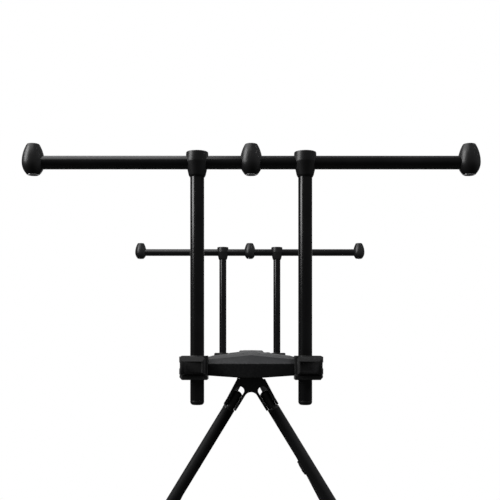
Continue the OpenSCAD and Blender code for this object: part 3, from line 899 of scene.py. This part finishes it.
HOUSING_PLASTIC = MouldedFinish(
    "housing_plastic", Slot.HOUSING, (0.01, 0.01, 0.0104), (0.015, 0.015, 0.0154), roughness=0.34
)
TEE_PLASTIC = MouldedFinish("tee_plastic", Slot.MOULDED, roughness=0.36)
CLAMP_PLASTIC = MouldedFinish("clamp_plastic", Slot.MOULDED, roughness=0.42)
HINGE_PLASTIC = MouldedFinish(
    "hinge_plastic", Slot.MOULDED, (0.022, 0.022, 0.0226), (0.032, 0.032, 0.0326), roughness=0.38
)
LEVER_PLASTIC = MouldedFinish(
    "lever_plastic", Slot.LEVER, (0.01, 0.01, 0.0104), (0.0145, 0.0145, 0.0149)
)
COLLAR_PLASTIC = MouldedFinish(
    "collar_plastic", Slot.COLLAR, (0.01, 0.01, 0.0105), (0.016, 0.016, 0.0165), roughness=0.45
)
HEAD_COAT = CastFinish(
    "head_coat", Slot.HEAD, (0.033, 0.0335, 0.035), (0.039, 0.0395, 0.041),
    roughness=0.3, shine=0.1,
)
BRACKET_COAT = CastFinish(
    "bracket_coat", Slot.BRACKET, (0.015, 0.0152, 0.016), (0.022, 0.0222, 0.023)
)
INSERT_METAL = MetalFinish("insert_metal", Slot.INSERT, (0.52, 0.52, 0.53), (0.72, 0.72, 0.73), 0.2)
ZINC_STEEL = MetalFinish("zinc_steel", Slot.STEEL, (0.34, 0.345, 0.35), (0.52, 0.52, 0.53), 0.28)
FOOT_RUBBER = RubberFinish("foot_rubber", Slot.RUBBER)
UPRIGHT_TUBE = TubeFinish("upright_tube")
BAR_TUBE = TubeFinish("bar_tube", axis=(1.0, 0.0, 0.0))
SPINE_TUBE = TubeFinish("spine_tube", axis=(0.0, 1.0, 0.0))
MADE: dict[Finish, bpy.types.Material] = {}


def material_of(finish: Finish) -> bpy.types.Material:
    """The material of a finish, made once.

    Args:
        finish: the finish.

    Returns:
        Its material.
    """
    if finish not in MADE:
        MADE[finish] = finish.make()
    return MADE[finish]


def hand_over(piece: bpy.types.Object, finish: Finish, body: str, *nodes: str) -> None:
    """Dresses a finished piece and joins it to its CAD body.

    Args:
        piece: the mesh object.
        finish: its finish.
        body: CAD body that carries it.
        nodes: CAD nodes that it stands for.
    """
    mark_edges(piece)
    piece.data.materials.clear()
    piece.data.materials.append(material_of(finish))
    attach(piece, body)
    if nodes:
        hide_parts(*nodes)
    LOG.info("%s rides on %s and stands for %s", piece.name, body, ", ".join(nodes) or "itself")


class Pattern(Graph):
    """A Geometry Nodes tree with named inputs, in millimetres."""

    def __init__(self, name: str, inputs: dict[str, str]) -> None:
        """Starts the tree.

        Args:
            name: name of the tree.
            inputs: kind of each input by name, such as Float or Int.
        """
        super().__init__(bpy.data.node_groups.new(name, "GeometryNodeTree"))
        face = self.tree.interface
        face.new_socket("Geometry", in_out="OUTPUT", socket_type="NodeSocketGeometry")
        self.keys: dict[str, str] = {}
        for key, kind in (inputs | {"Material": "Material"}).items():
            made = face.new_socket(key, in_out="INPUT", socket_type="NodeSocket" + kind)
            self.keys[key] = made.identifier
        self.given = self.node("NodeGroupInput").outputs

    def vector(self, x: Any, y: Any, z: Any) -> Socket:
        """A vector of three values."""
        return self.node("ShaderNodeCombineXYZ", {0: x, 1: y, 2: z}).outputs[0]

    def close(self, geometry: Socket) -> "Pattern":
        """Ends the tree in real geometry with its material.

        Args:
            geometry: what the tree has made.

        Returns:
            This pattern.
        """
        real = self.node("GeometryNodeRealizeInstances", {0: geometry}).outputs[0]
        inputs = {"Geometry": real, "Material": self.given["Material"]}
        dressed = self.node("GeometryNodeSetMaterial", inputs).outputs[0]
        self.node("NodeGroupOutput", {0: dressed})
        return self

    def grow(
        self, name: str, sizes: dict[str, Any], finish: Finish, places: Sequence[Matrix]
    ) -> bpy.types.Object:
        """Runs the tree and puts its result at each place.

        Args:
            name: name of the new object.
            sizes: value of each of the tree's inputs, by name.
            finish: finish of the result.
            places: frames to copy the result to.

        Returns:
            A plain mesh object.
        """
        seed = linked("seed", bpy.data.meshes.new("seed"))
        modifier = seed.modifiers.new("grow", "NODES")
        modifier.node_group = self.tree
        for key, value in (sizes | {"Material": material_of(finish)}).items():
            modifier[self.keys[key]] = value
        grown = applied(seed)
        points = [v.co.copy() for v in grown.vertices]
        faces = [list(p.vertices) for p in grown.polygons]
        bpy.data.objects.remove(seed)
        bpy.data.meshes.remove(grown)
        form = Form()
        for place in places:
            form.add(points, faces, place)
        return form.to_object(name, SOFT_CREASE)


def thread_pattern() -> Pattern:
    """A screw thread: a ridge that winds up along Z.

    Returns:
        The pattern.
    """
    steps_a_turn = 36
    ridge_sides = 5
    made = Pattern("screw_thread", dict.fromkeys(("Radius", "Length", "Pitch", "Ridge"), "Float"))
    radius, length, pitch, ridge = list(made.given)[:4]
    helix = made.node("GeometryNodeCurveSpiral", {
        "Resolution": steps_a_turn, "Rotations": made.math("DIVIDE", length, pitch),
        "Start Radius": radius, "End Radius": radius, "Height": length,
    })
    circle = {"Resolution": ridge_sides, "Radius": ridge}
    ring = made.node("GeometryNodeCurvePrimitiveCircle", circle)
    swept = made.node("GeometryNodeCurveToMesh", {
        "Curve": helix.outputs[0], "Profile Curve": ring.outputs[0], "Fill Caps": True,
    })
    return made.close(swept.outputs[0])


def rib_pattern() -> Pattern:
    """Rounded ribs that stand in a ring round Z.

    Returns:
        The pattern.
    """
    ball_sides = 10
    sizes = dict.fromkeys(("Radius", "Width", "Depth", "Length", "Height"), "Float")
    made = Pattern("grip_ribs", {"Count": "Int"} | sizes)
    count, radius, width, depth, length, height = list(made.given)[:6]
    ring = made.node("GeometryNodeMeshCircle", {"Vertices": count, "Radius": radius}).outputs[0]
    lift = {"Geometry": ring, "Offset": made.vector(0.0, 0.0, height)}
    raised = made.node("GeometryNodeSetPosition", lift).outputs[0]
    globe = {"Segments": ball_sides, "Rings": ball_sides, "Radius": 0.5}
    ball = made.node("GeometryNodeMeshUVSphere", globe).outputs[0]
    shape = {"Geometry": ball, "Scale": made.vector(depth, width, length)}
    rib = made.node("GeometryNodeTransform", shape).outputs[0]
    spot = made.node("GeometryNodeInputPosition").outputs[0]
    level = {0: spot, 1: (1.0, 1.0, 0.0)}
    flat = made.node("ShaderNodeVectorMath", level, operation="MULTIPLY").outputs[0]
    way = {"Vector": flat}
    face = made.node("FunctionNodeAlignRotationToVector", way, axis="X", pivot_axis="Z")
    spread = {"Points": raised, "Instance": rib, "Rotation": face.outputs[0]}
    return made.close(made.node("GeometryNodeInstanceOnPoints", spread).outputs[0])


@dataclass
class Assembly:
    """A sub-assembly whose name starts the names of its pieces, bodies and nodes."""

    end: End

    @property
    def name(self) -> str:
        """The end's name."""
        return self.end.value

    def give(self, piece: bpy.types.Object, finish: Finish, body: str, *nodes: str) -> None:
        """Hands a piece over, with the assembly's name before its body and nodes."""
        full_names = [f"{self.name}_{node}" for node in nodes]
        hand_over(piece, finish, f"{self.name}_{body}", *full_names)


@dataclass
class Goalpost(Assembly):
    """A bar with three rest housings on two uprights."""

    threads: Pattern
    bar_r: float = 6.75
    bar_wall: float = 1.2
    bar_overhang: float = 7.2
    bar_lip: float = 0.2
    upright_r: float = 7.0
    upright_wall: float = 1.2
    upright_len: float = 231.0
    upright_lip: float = 0.35
    upright_clear: float = 0.1
    plug_h: float = 4.5
    plug_round: float = 4.0
    plug_clear: float = 0.12
    plug_spigot: float = 12.0
    housing_r: float = 11.2
    housing_top: float = 18.5
    housing_bottom: float = 12.0
    upper_curve: float = 36.0
    lower_curve: float = 16.7
    rim_h: float = 1.3
    base_h: float = 1.0
    rim_inset: float = 0.75
    insert_r: float = 5.3
    insert_inset: float = 0.3
    lip_r: float = 5.8
    lip_h: float = 0.4
    mouth_flare: float = 0.35
    mouth_h: float = 0.7
    thread_r: float = 4.55
    thread_pitch: float = 1.27
    thread_ridge: float = 0.42
    thread_inset: float = 1.3
    tee_top: float = 10.4
    tee_bottom: float = 14.6
    tee_rim_r: float = 11.0
    tee_belly_r: float = 11.5
    tee_belly_z: float = 0.5
    tee_foot_r: float = 8.5
    tee_foot_edge: float = 1.9
    tee_foot_lip: float = 0.4

    @property
    def rests(self) -> dict[Rest, Matrix]:
        """The frame of each rest housing, on the bar's axis."""
        bar = LAYOUT.at_bar(self.end)
        return {rest: bar @ shift(x=rest.value * LAYOUT.housing_gap) for rest in Rest}

    def upright_foot(self, side: Side) -> Matrix:
        """The frame on the lower end of an upright's tube."""
        top = LAYOUT.bar_rise(self.end) - self.bar_r - self.upright_clear
        return LAYOUT.at_upright(self.end, side) @ shift(z=top - self.upright_len)

    def build(self) -> None:
        """Makes every piece of the goalpost."""
        self.build_bar()
        for side in Side:
            self.build_upright(side)
            self.build_tee(side)
        self.build_plugs()
        for rest in Rest:
            self.build_housing(rest)
        self.build_inserts()

    def build_bar(self) -> None:
        """The bar, drilled where the inserts pass through it."""
        length = 2 * (LAYOUT.housing_gap + self.bar_overhang)
        start = LAYOUT.at_bar(self.end) @ ACROSS @ shift(z=-length / 2)
        outline = tube_outline(self.bar_r, self.bar_wall, length, self.bar_lip)
        piece = turned(f"{self.name}_bar_tube", outline, [start], True)
        reach = 2 * self.bar_r
        bore(piece, list(self.rests.values()), self.insert_r + FIT, -reach, reach)
        self.give(piece, BAR_TUBE, "goalpost", "bar")

    def build_upright(self, side: Side) -> None:
        """One upright's tube, with a rounded lip at its lower end.

        Args:
            side: the upright's side.
        """
        node = f"{side.value}_upright"
        size = (self.upright_r, self.upright_wall, self.upright_len, self.upright_lip)
        place = self.upright_foot(side)
        piece = turned(f"{self.name}_{node}_tube", tube_outline(*size), [place], True)
        self.give(piece, UPRIGHT_TUBE, "goalpost", node)

    def build_plugs(self) -> None:
        """The rounded plugs in the lower ends of both uprights."""
        inside = self.upright_r - self.upright_wall - FIT
        outline = rounded([
            (0.0, -self.plug_h, 0.0), (self.upright_r, -self.plug_h, self.plug_round),
            (self.upright_r, -self.plug_clear, 0.35), (inside, -self.plug_clear, 0.0),
            (inside, self.plug_spigot, 0.8), (0.0, self.plug_spigot, 0.0),
        ], 8)
        places = [self.upright_foot(side) for side in Side]
        piece = turned(f"{self.name}_plug_pair", outline, places, False)
        self.give(piece, CLAMP_PLASTIC, "goalpost", "upright_plugs")

    def build_tee(self, side: Side) -> None:
        """A tee: a barrel over the bar and a cone down the upright.

        Args:
            side: the tee's side.
        """
        node = f"{side.value}_tee"
        low = -self.tee_bottom
        inside = self.upright_r + FIT
        outline = rounded([
            (0.0, -self.bar_r, 0.0), (inside, -self.bar_r, 0.0), (inside, low, 0.0),
            (inside + self.tee_foot_lip, low, 0.15),
            (self.tee_foot_r, low + self.tee_foot_edge, 0.8),
            (self.tee_belly_r, self.tee_belly_z, 5.0), (self.tee_rim_r, self.tee_top, 0.9),
            (0.0, self.tee_top, 0.0),
        ])
        place = LAYOUT.at_bar(self.end) @ shift(x=side.sign * LAYOUT.upright_gap / 2)
        piece = turned(f"{self.name}_{node}_fitting", outline, [place], False, SOFT_CREASE)
        reach = 2 * self.tee_rim_r
        bore(piece, [place @ ACROSS], self.bar_r + FIT, -reach, reach)
        self.give(piece, TEE_PLASTIC, "goalpost", node)

    def build_housing(self, rest: Rest) -> None:
        """A rest housing: an egg-shaped barrel with bores for its insert and the bar.

        Args:
            rest: which of the three it is.
        """
        upper = barrel(self.housing_r, self.upper_curve, 0.0, self.housing_top - self.rim_h)
        lower = barrel(self.housing_r, self.lower_curve, self.base_h - self.housing_bottom, 0.0)
        inside = self.insert_r + FIT
        rim = rounded([
            (*upper[-1], 0.0), (upper[-1][0] - self.rim_inset, self.housing_top, self.rim_h),
            (inside, self.housing_top, 0.3), (inside, 0.0, 0.0),
        ])
        base = rounded([
            (inside, 0.0, 0.0), (inside, -self.housing_bottom, 0.3),
            (lower[0][0] - self.rim_inset, -self.housing_bottom, 0.9), (*lower[0], 0.0),
        ])
        outline = base + lower[1:] + upper[1:] + rim[1:-1]
        name = rest.name.lower()
        place = self.rests[rest]
        piece = turned(f"{self.name}_{name}_rest_housing", outline, [place], True, SOFT_CREASE)
        reach = 2 * self.housing_r
        stop = self.bar_overhang + FIT
        low = -stop if rest is Rest.LEFT else -reach
        high = stop if rest is Rest.RIGHT else reach
        bore(piece, [place @ ACROSS], self.bar_r + FIT, low, high)
        self.give(piece, HOUSING_PLASTIC, "goalpost", f"{name}_housing")

    def build_inserts(self) -> None:
        """The three threaded metal inserts."""
        low = -self.housing_bottom - self.lip_h
        high = self.housing_top - self.insert_inset
        lip = low + self.lip_h - FIT
        mouth = self.thread_r + self.mouth_flare
        outline = rounded([
            (self.lip_r, low, 0.15), (self.lip_r, lip, 0.05), (self.insert_r, lip, 0.0),
            (self.insert_r, high, 0.2), (mouth, high, 0.1),
            (self.thread_r, high - self.mouth_h, 0.1), (self.thread_r, low + self.mouth_h, 0.1),
            (mouth, low, 0.1),
        ], 3, True)
        places = list(self.rests.values())
        sleeves = turned(f"{self.name}_insert_sleeves", outline, places, True)
        self.give(sleeves, INSERT_METAL, "goalpost", "thread_inserts")
        sizes = {
            "Radius": self.thread_r, "Length": high - low - 2 * self.thread_inset,
            "Pitch": self.thread_pitch, "Ridge": self.thread_ridge,
        }
        raised = [place @ shift(z=low + self.thread_inset) for place in places]
        threads = self.threads.grow(f"{self.name}_insert_threads", sizes, INSERT_METAL, raised)
        self.give(threads, INSERT_METAL, "goalpost")


@dataclass
class EndGroup(Assembly):
    """A head with its clamps, levers, leg bracket and hardware, rounded from their CAD nodes."""

    nodes: dict[str, bpy.types.Object]
    head_edge: float = 0.55
    clamp_edge: float = 0.8
    lever_edge: float = 0.5
    bracket_edge: float = 0.6
    steel_edge: float = 0.25

    def copy(self, node: str, piece: str, edge: float, finish: Finish, body: str) -> None:
        """Makes one rounded piece from a CAD node, with all names given without the end."""
        made = Rounding(edge).copy(f"{self.name}_{piece}", self.nodes[f"{self.name}_{node}"])
        self.give(made, finish, body, node)

    def build(self) -> None:
        """Makes every piece of the end."""
        self.copy("head", "head_casting", self.head_edge, HEAD_COAT, "section")
        self.copy("leg_bracket", "bracket_casting", self.bracket_edge, BRACKET_COAT, "section")
        for kind in ("clamp", "bracket"):
            fasteners = f"{kind}_fasteners"
            self.copy(f"{kind}_hardware", fasteners, self.steel_edge, ZINC_STEEL, "section")
        for side in Side:
            clamp = f"{side.value}_clamp"
            lever = f"{side.value}_lever"
            self.copy(clamp, f"{side.value}_split_clamp", self.clamp_edge, CLAMP_PLASTIC, "section")
            self.copy(lever, f"{clamp}_lever", self.lever_edge, LEVER_PLASTIC, lever)


@dataclass
class Spine:
    """The telescoping tube between the heads, with its lock."""

    nodes: dict[str, bpy.types.Object]
    ribs: Pattern
    width: float = 23.0
    height: float = 21.2
    corner: float = 4.0
    corner_share: float = 0.6
    lip: float = 0.4
    outer_wall: float = 1.8
    outer_start: float = -419.0
    outer_end: float = 51.0
    inner_inset: float = 2.1
    inner_wall: float = 1.5
    inner_start: float = -54.0
    inner_end: float = 419.0
    floor: float = 2.6
    head_drop: float = 9.9
    collar_edge: float = 0.8
    knob_r: float = 11.0
    knob_t: float = 11.0
    knob_start: float = 21.0
    knob_y: float = 36.0
    knob_waist: float = 1.0
    knob_dish: float = 0.8
    stud_r: float = 3.0
    stud_len: float = 11.0
    grip_count: int = 16
    grip_w: float = 2.6
    grip_share: float = 0.86
    grip_sunk: float = 0.4

    @property
    def middle(self) -> float:
        """Height of the spine's axis above the ground."""
        return LAYOUT.clamp_height - self.head_drop + self.floor + self.height / 2

    def build(self) -> None:
        """Makes both tubes, the lock collar and its knob."""
        outer = (self.outer_start, self.outer_end)
        inner = (self.inner_start, self.inner_end)
        self.build_tube("spine_outer_tube", 0.0, self.outer_wall, outer, "front_section")
        inset = self.inner_inset
        self.build_tube("spine_inner_tube", inset, self.inner_wall, inner, "rear_section")
        node = "spine_lock_collar"
        collar = Rounding(self.collar_edge).copy("spine_collar_moulding", self.nodes[node])
        hand_over(collar, COLLAR_PLASTIC, "front_section", node)
        self.build_knob()

    def section(self, inset: float, y: float) -> list[Vector]:
        """The spine's rounded square section.

        Args:
            inset: how much smaller it is than the outer tube on every side.
            y: its place along the spine.

        Returns:
            The points of the section.
        """
        w = self.width / 2 - inset
        h = self.height / 2 - inset
        r = self.corner - inset * self.corner_share
        ring = rounded([(-w, -h, r), (w, -h, r), (w, h, r), (-w, h, r)], 7, True)
        return [Vector((x, y, z)) for x, z in ring]

    def build_tube(
        self, node: str, inset: float, wall: float, ends: tuple[float, float], body: str
    ) -> None:
        """One rounded square tube along Y, with its lips eased.

        Args:
            node: name of the CAD node that it stands for.
            inset: how much smaller it is than the outer tube on every side.
            wall: its thickness.
            ends: Y at which it starts and ends.
            body: CAD body that carries it.
        """
        start, end = ends
        deep = inset + wall
        stations = [
            (deep, start), (inset + self.lip, start), (inset, start + self.lip),
            (inset, end - self.lip), (inset + self.lip, end), (deep, end),
        ]
        rings = [self.section(*station) for station in stations]
        piece = Form().skin(rings, shift(z=self.middle), True).to_object(f"{node}_profile")
        hand_over(piece, SPINE_TUBE, body, node)

    def build_knob(self) -> None:
        """The lock knob with its stud and grips."""
        place = shift(y=self.knob_y, z=self.middle) @ ACROSS
        body_r = self.knob_r - self.knob_waist
        near = self.knob_start
        far = near + self.knob_t
        tip = near - self.stud_len
        dish = far - self.knob_dish
        outline = rounded([
            (0.0, tip, 0.0), (self.stud_r, tip, 0.4), (self.stud_r, near, 0.0), (body_r, near, 0.8),
            (body_r, far, 1.6), (body_r * 0.62, far, 0.5), (body_r * 0.55, dish, 0.5),
            (0.0, dish, 0.0),
        ])
        knob = turned("spine_knob_turning", outline, [place], False)
        hand_over(knob, COLLAR_PLASTIC, "spine_lock", "spine_lock_knob")
        sizes = {
            "Count": self.grip_count, "Radius": body_r - self.grip_sunk, "Width": self.grip_w,
            "Depth": self.grip_w, "Length": self.knob_t * self.grip_share,
            "Height": near + self.knob_t / 2,
        }
        grips = self.ribs.grow("spine_knob_grips", sizes, COLLAR_PLASTIC, [place])
        hand_over(grips, COLLAR_PLASTIC, "spine_lock")


@dataclass
class Leg(Assembly):
    """A folding leg: hinge plug, two tubes, twist lock and foot."""

    side: Side
    ribs: Pattern
    tube_dark: Colour = (0.0125, 0.0125, 0.013)
    tube_light: Colour = (0.0175, 0.0175, 0.018)
    tongue_r: float = 4.6
    tongue_reach: float = 12.3
    nose_r: float = 6.5
    plug_top: float = 7.2
    shoulder_t: float = 2.0
    spigot: float = 16.0
    rivet_r: float = 1.1
    rivet_root: float = 1.0
    rivet_head: float = 0.1
    rivet_x: float = -1.6
    rivet_z: float = 2.0
    upper_r: float = 6.25
    upper_wall: float = 1.25
    upper_len: float = 185.0
    upper_lip: float = 0.3
    lower_r: float = 4.95
    lower_wall: float = 1.1
    lower_len: float = 219.0
    lower_lip: float = 0.2
    collar_r: float = 8.9
    collar_len: float = 30.0
    collar_lip: float = 2.2
    collar_cover: float = 0.6
    collar_clear: float = 0.05
    collar_stop: float = 0.5
    collar_waist: float = 0.7
    grip_count: int = 16
    grip_sunk: float = 0.35
    grip_w: float = 2.0
    grip_d: float = 2.1
    foot_r: float = 9.0
    foot_flat: float = 0.6
    foot_sleeve: float = 22.0
    foot_wall: float = 2.0
    foot_tip: float = 5.0

    @property
    def name(self) -> str:
        """The leg's name, of its end and side."""
        return f"{self.end.value}_{self.side.value}"

    @property
    def place(self) -> Matrix:
        """The frame on the hinge pin."""
        return LAYOUT.at_leg(self.end, self.side)

    @property
    def tube_finish(self) -> TubeFinish:
        """The tubes' finish, drawn along the leg.

        Returns:
            The finish.
        """
        axis = tuple(self.place.to_3x3() @ UP)
        shades = {"dark": self.tube_dark, "light": self.tube_light}
        return TubeFinish(f"{self.name}_leg_tube", roughness=0.55, shine=0.1, axis=axis, **shades)

    @property
    def tube_top(self) -> float:
        """Distance from the hinge pin to the upper tube."""
        return self.plug_top + self.shoulder_t

    @property
    def reach(self) -> float:
        """Distance from the hinge pin to the ball of the foot."""
        lean = math.radians(LAYOUT.splay(self.end))
        return (self.place.translation.z - self.foot_r + self.foot_flat) / math.cos(lean)

    def down(self, distance: float) -> Matrix:
        """The frame at a distance down the leg from its pin."""
        return self.place @ shift(z=-distance)

    def build(self) -> None:
        """Makes every piece of the leg."""
        self.build_hinge_plug()
        self.build_tubes()
        self.build_collar()
        self.build_foot()

    def build_hinge_plug(self) -> None:
        """The plug whose round-nosed tongue turns in the bracket's slot."""
        nose_steps = 10
        low = -self.tube_top
        inside = self.upper_r - self.upper_wall - FIT
        middle = self.tongue_reach - self.nose_r
        widest = math.asin(self.tongue_r / self.nose_r)
        turns = [widest * (1 - k / nose_steps) for k in range(nose_steps + 1)]
        outline = rounded([
            (0.0, low - self.spigot, 0.0), (inside, low - self.spigot, 0.5), (inside, low, 0.0),
            (self.upper_r, low, 0.25), (self.upper_r, -self.plug_top, 0.7),
            (self.tongue_r, -self.plug_top, 0.5), (self.tongue_r, 0.0, 0.0),
        ])
        outline += [(self.nose_r * math.sin(a), middle + self.nose_r * math.cos(a)) for a in turns]
        root = self.tongue_r - self.rivet_root
        head = self.tongue_r + self.rivet_head
        rivet = [(0.0, root)]
        rivet += rounded([(self.rivet_r, root, 0.0), (self.rivet_r, head, 0.3), (0.0, head, 0.0)])
        spot = shift(x=self.rivet_x, z=self.rivet_z) @ Matrix.Rotation(math.pi / 2, 4, "X")
        form = Form().turn(outline, self.place).turn(rivet, self.place @ spot, segments=24)
        piece = form.to_object(f"{self.name}_hinge_tongue", SOFT_CREASE)
        self.give(piece, HINGE_PLASTIC, "leg", "hinge_plug")

    def build_tubes(self) -> None:
        """The upper tube and the lower one that slides in it."""
        upper = tube_outline(self.upper_r, self.upper_wall, self.upper_len, self.upper_lip)
        lower = tube_outline(self.lower_r, self.lower_wall, self.lower_len, self.lower_lip)
        for part, body, outline, foot in (
            ("upper", "leg", upper, self.tube_top + self.upper_len),
            ("lower", "leg_extension", lower, self.reach - self.foot_tip),
        ):
            piece = turned(f"{self.name}_{part}_tube", outline, [self.down(foot)], True)
            self.give(piece, self.tube_finish, body, f"{part}_leg")

    def build_collar(self) -> None:
        """The twist lock with its ring of grips."""
        length = self.collar_len
        place = self.down(self.tube_top + self.upper_len + length * self.collar_cover)
        body_r = self.collar_r - self.collar_waist
        inside = self.upper_r + self.collar_clear
        throat = self.lower_r + self.collar_clear
        step = length * self.collar_cover - self.collar_stop
        outline = rounded([
            (throat, 0.0, 0.3), (self.lower_r + self.collar_lip, 0.0, 0.8),
            (self.collar_r, length * 0.33, 1.5), (self.collar_r, length * 0.37, 0.5),
            (body_r, length * 0.4, 0.4), (body_r, length * 0.87, 0.4),
            (self.collar_r, length * 0.9, 0.4), (self.collar_r, length, 1.4),
            (inside, length, 0.3), (inside, step, 0.0), (throat, step, 0.0),
        ], 4, True)
        sleeve = turned(f"{self.name}_lock_sleeve", outline, [place], True)
        self.give(sleeve, COLLAR_PLASTIC, "leg_lock", "twist_collar")
        sizes = {
            "Count": self.grip_count, "Radius": body_r - self.grip_sunk, "Width": self.grip_w,
            "Depth": self.grip_d, "Length": length * 0.5, "Height": length * 0.635,
        }
        grips = self.ribs.grow(f"{self.name}_lock_grips", sizes, COLLAR_PLASTIC, [place])
        self.give(grips, COLLAR_PLASTIC, "leg_lock")

    def build_foot(self) -> None:
        """The rubber foot, flat where it stands on the ground."""
        ball_steps = 14
        sleeve = self.foot_sleeve
        sleeve_r = self.lower_r + self.foot_wall
        inside = self.lower_r + FIT
        turns = [-math.pi / 2 + math.pi / 2 * k / ball_steps for k in range(ball_steps + 1)]
        outline = [(self.foot_r * math.cos(a), self.foot_r * math.sin(a)) for a in turns]
        outline += rounded([
            (self.foot_r, 0.0, 0.0), (sleeve_r + 0.5, sleeve * 0.55, 3.0),
            (sleeve_r, sleeve * 0.62, 0.5), (sleeve_r, sleeve, 0.7), (inside, sleeve, 0.2),
            (inside, self.foot_tip, 0.0), (0.0, self.foot_tip, 0.0),
        ])[1:]
        name = f"{self.name}_rubber_foot"
        piece = turned(name, outline, [self.down(self.reach)], False, SOFT_CREASE)
        shell = bmesh.new()
        shell.from_mesh(piece.data)
        parts = shell.verts[:] + shell.edges[:] + shell.faces[:]
        ground = {"plane_co": (0.0, 0.0, 0.0), "plane_no": (0.0, 0.0, -1.0)}
        cut = bmesh.ops.bisect_plane(shell, geom=parts, clear_outer=True, **ground)
        rim = [e for e in cut["geom_cut"] if isinstance(e, bmesh.types.BMEdge)]
        bmesh.ops.contextual_create(shell, geom=rim)
        bmesh.ops.recalc_face_normals(shell, faces=shell.faces)
        shell.to_mesh(piece.data)
        shell.free()
        smooth(piece.data, SOFT_CREASE)
        self.give(piece, FOOT_RUBBER, "leg_extension", "foot")


@dataclass(frozen=True)
class Softbox:
    """A large soft lamp: where it hangs, what it looks at and how bright it shines."""

    name: str
    place: Point
    aim: Point
    width: float
    height: float
    watts: float
    mirrored: bool = True

    def hang(self) -> None:
        """Adds the lamp to the scene."""
        lamp = bpy.data.lights.new(self.name, "AREA")
        lamp.shape = "RECTANGLE"
        lamp.size = self.width
        lamp.size_y = self.height
        lamp.energy = self.watts
        holder = linked(self.name, lamp)
        holder.location = self.place
        look = Vector(self.aim) - Vector(self.place)
        holder.rotation_euler = look.to_track_quat("-Z", "Y").to_euler()
        holder.visible_glossy = self.mirrored


@dataclass(frozen=True)
class Studio:
    """Camera, lamps, white surroundings and floor."""

    frame_px: float = 500.0
    focal_px: float = 850.0
    vanishing_px: tuple[float, float] = (248.5, 350.0)
    eye: Point = (-0.0027, -1.275, 0.35265)
    sensor: float = 36.0
    far: float = 50.0
    floor_r: float = 0.64
    floor_fade: float = 0.5
    floor_grey: float = 0.86
    floor_sides: int = 96
    backdrop: tuple[float, float] = (0.88, 0.99)
    room: tuple[float, float] = (0.04, 0.12)
    room_slope: tuple[float, float] = (-0.2, 1.0)
    lamps: tuple[Softbox, ...] = (
        Softbox("left_box", (-1.91, -1.0, 1.53), (-0.05, -0.43, 0.5), 1.18, 1.43, 37.0),
        Softbox("top_box", (-1.0, -0.5, 2.0), (-1.0, -0.49, 0.0), 1.8, 2.25, 23.0),
        Softbox("back_box", (1.3, 1.7, 1.2), (0.0, 0.0, 0.35), 2.0, 1.4, 22.0, mirrored=False),
        Softbox("right_box", (1.3, -0.6, 1.7), (0.0, -0.43, 0.34), 0.9, 0.9, 50.0, mirrored=False),
    )

    def build(self) -> None:
        """Sets up the whole studio."""
        self.set_camera()
        self.set_world()
        self.lay_floor()
        for lamp in self.lamps:
            lamp.hang()
        bpy.context.scene.view_settings.view_transform = "Standard"

    def set_camera(self) -> None:
        """Puts the camera where the photograph was taken from."""
        lens = bpy.data.cameras.new("camera")
        lens.sensor_width = self.sensor
        lens.lens = self.sensor * self.focal_px / self.frame_px
        lens.shift_x = (self.frame_px / 2 - self.vanishing_px[0]) / self.frame_px
        lens.shift_y = (self.vanishing_px[1] - self.frame_px / 2) / self.frame_px
        lens.clip_end = self.far
        holder = linked("camera", lens)
        holder.location = self.eye
        holder.rotation_euler = (math.pi / 2, 0.0, 0.0)
        bpy.context.scene.camera = holder

    def set_world(self) -> None:
        """A white backdrop for the camera and for reflections, in a dim room."""
        world = bpy.data.worlds.new("studio")
        world.use_nodes = True
        bpy.context.scene.world = world
        graph = Graph(world.node_tree)
        way = graph.node("ShaderNodeTexCoord").outputs["Generated"]
        _, back, up = graph.node("ShaderNodeSeparateXYZ", {0: way}).outputs
        path = graph.node("ShaderNodeLightPath").outputs
        seen = graph.math("ADD", path["Is Glossy Ray"], path["Is Transmission Ray"])
        wall = graph.math("MULTIPLY", seen, graph.span(back, 0.0, 1.0, *self.backdrop))
        white = graph.math("MAXIMUM", path["Is Camera Ray"], wall)
        room = graph.span(up, *self.room, *self.room_slope)
        strength = graph.node("ShaderNodeMix", {0: white, 2: room, 3: 1.0}).outputs[0]
        sky = {"Color": (1.0, 1.0, 1.0, 1.0), "Strength": strength}
        graph.feed(world.node_tree.nodes["Background"], sky)

    def lay_floor(self) -> None:
        """A pale round floor that fades to white at its rim."""
        mesh = bpy.data.meshes.new("floor")
        shell = bmesh.new()
        disc = {"cap_ends": True, "segments": self.floor_sides, "radius": self.floor_r}
        bmesh.ops.create_circle(shell, **disc)
        shell.to_mesh(mesh)
        shell.free()
        smooth(mesh)
        floor = linked("floor", mesh)
        shader = Shader("floor_white")
        pale = (self.floor_grey, self.floor_grey, self.floor_grey, 1.0)
        matt = {"Base Color": pale, "Roughness": 0.9, "Specular IOR Level": 0.1}
        shader.feed(shader.surface, matt)
        length = shader.node("ShaderNodeVectorMath", {0: shader.coords}, operation="LENGTH")
        fade = shader.span(length.outputs["Value"], 0.0, 1.0, self.floor_fade, self.floor_r)
        clear = shader.node("ShaderNodeBsdfTransparent").outputs[0]
        mix = shader.node("ShaderNodeMixShader", {0: fade, 1: shader.surface.outputs[0], 2: clear})
        shader.feed(shader.tree.nodes["Material Output"], {0: mix.outputs[0]})
        mesh.materials.append(shader.material)
        floor.visible_glossy = False
        floor.visible_diffuse = False


def main() -> None:
    """Builds the studio and every sub-assembly."""
    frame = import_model()
    Studio().build()
    threads = thread_pattern()
    ribs = rib_pattern()
    for end in End:
        Goalpost(end, threads).build()
        EndGroup(end, frame["nodes"]).build()
        for side in Side:
            Leg(end, side, ribs).build()
    Spine(frame["nodes"], ribs).build()


if __name__ == "__main__":
    logging.basicConfig(level=logging.INFO, format="%(name)s: %(message)s")
    main()
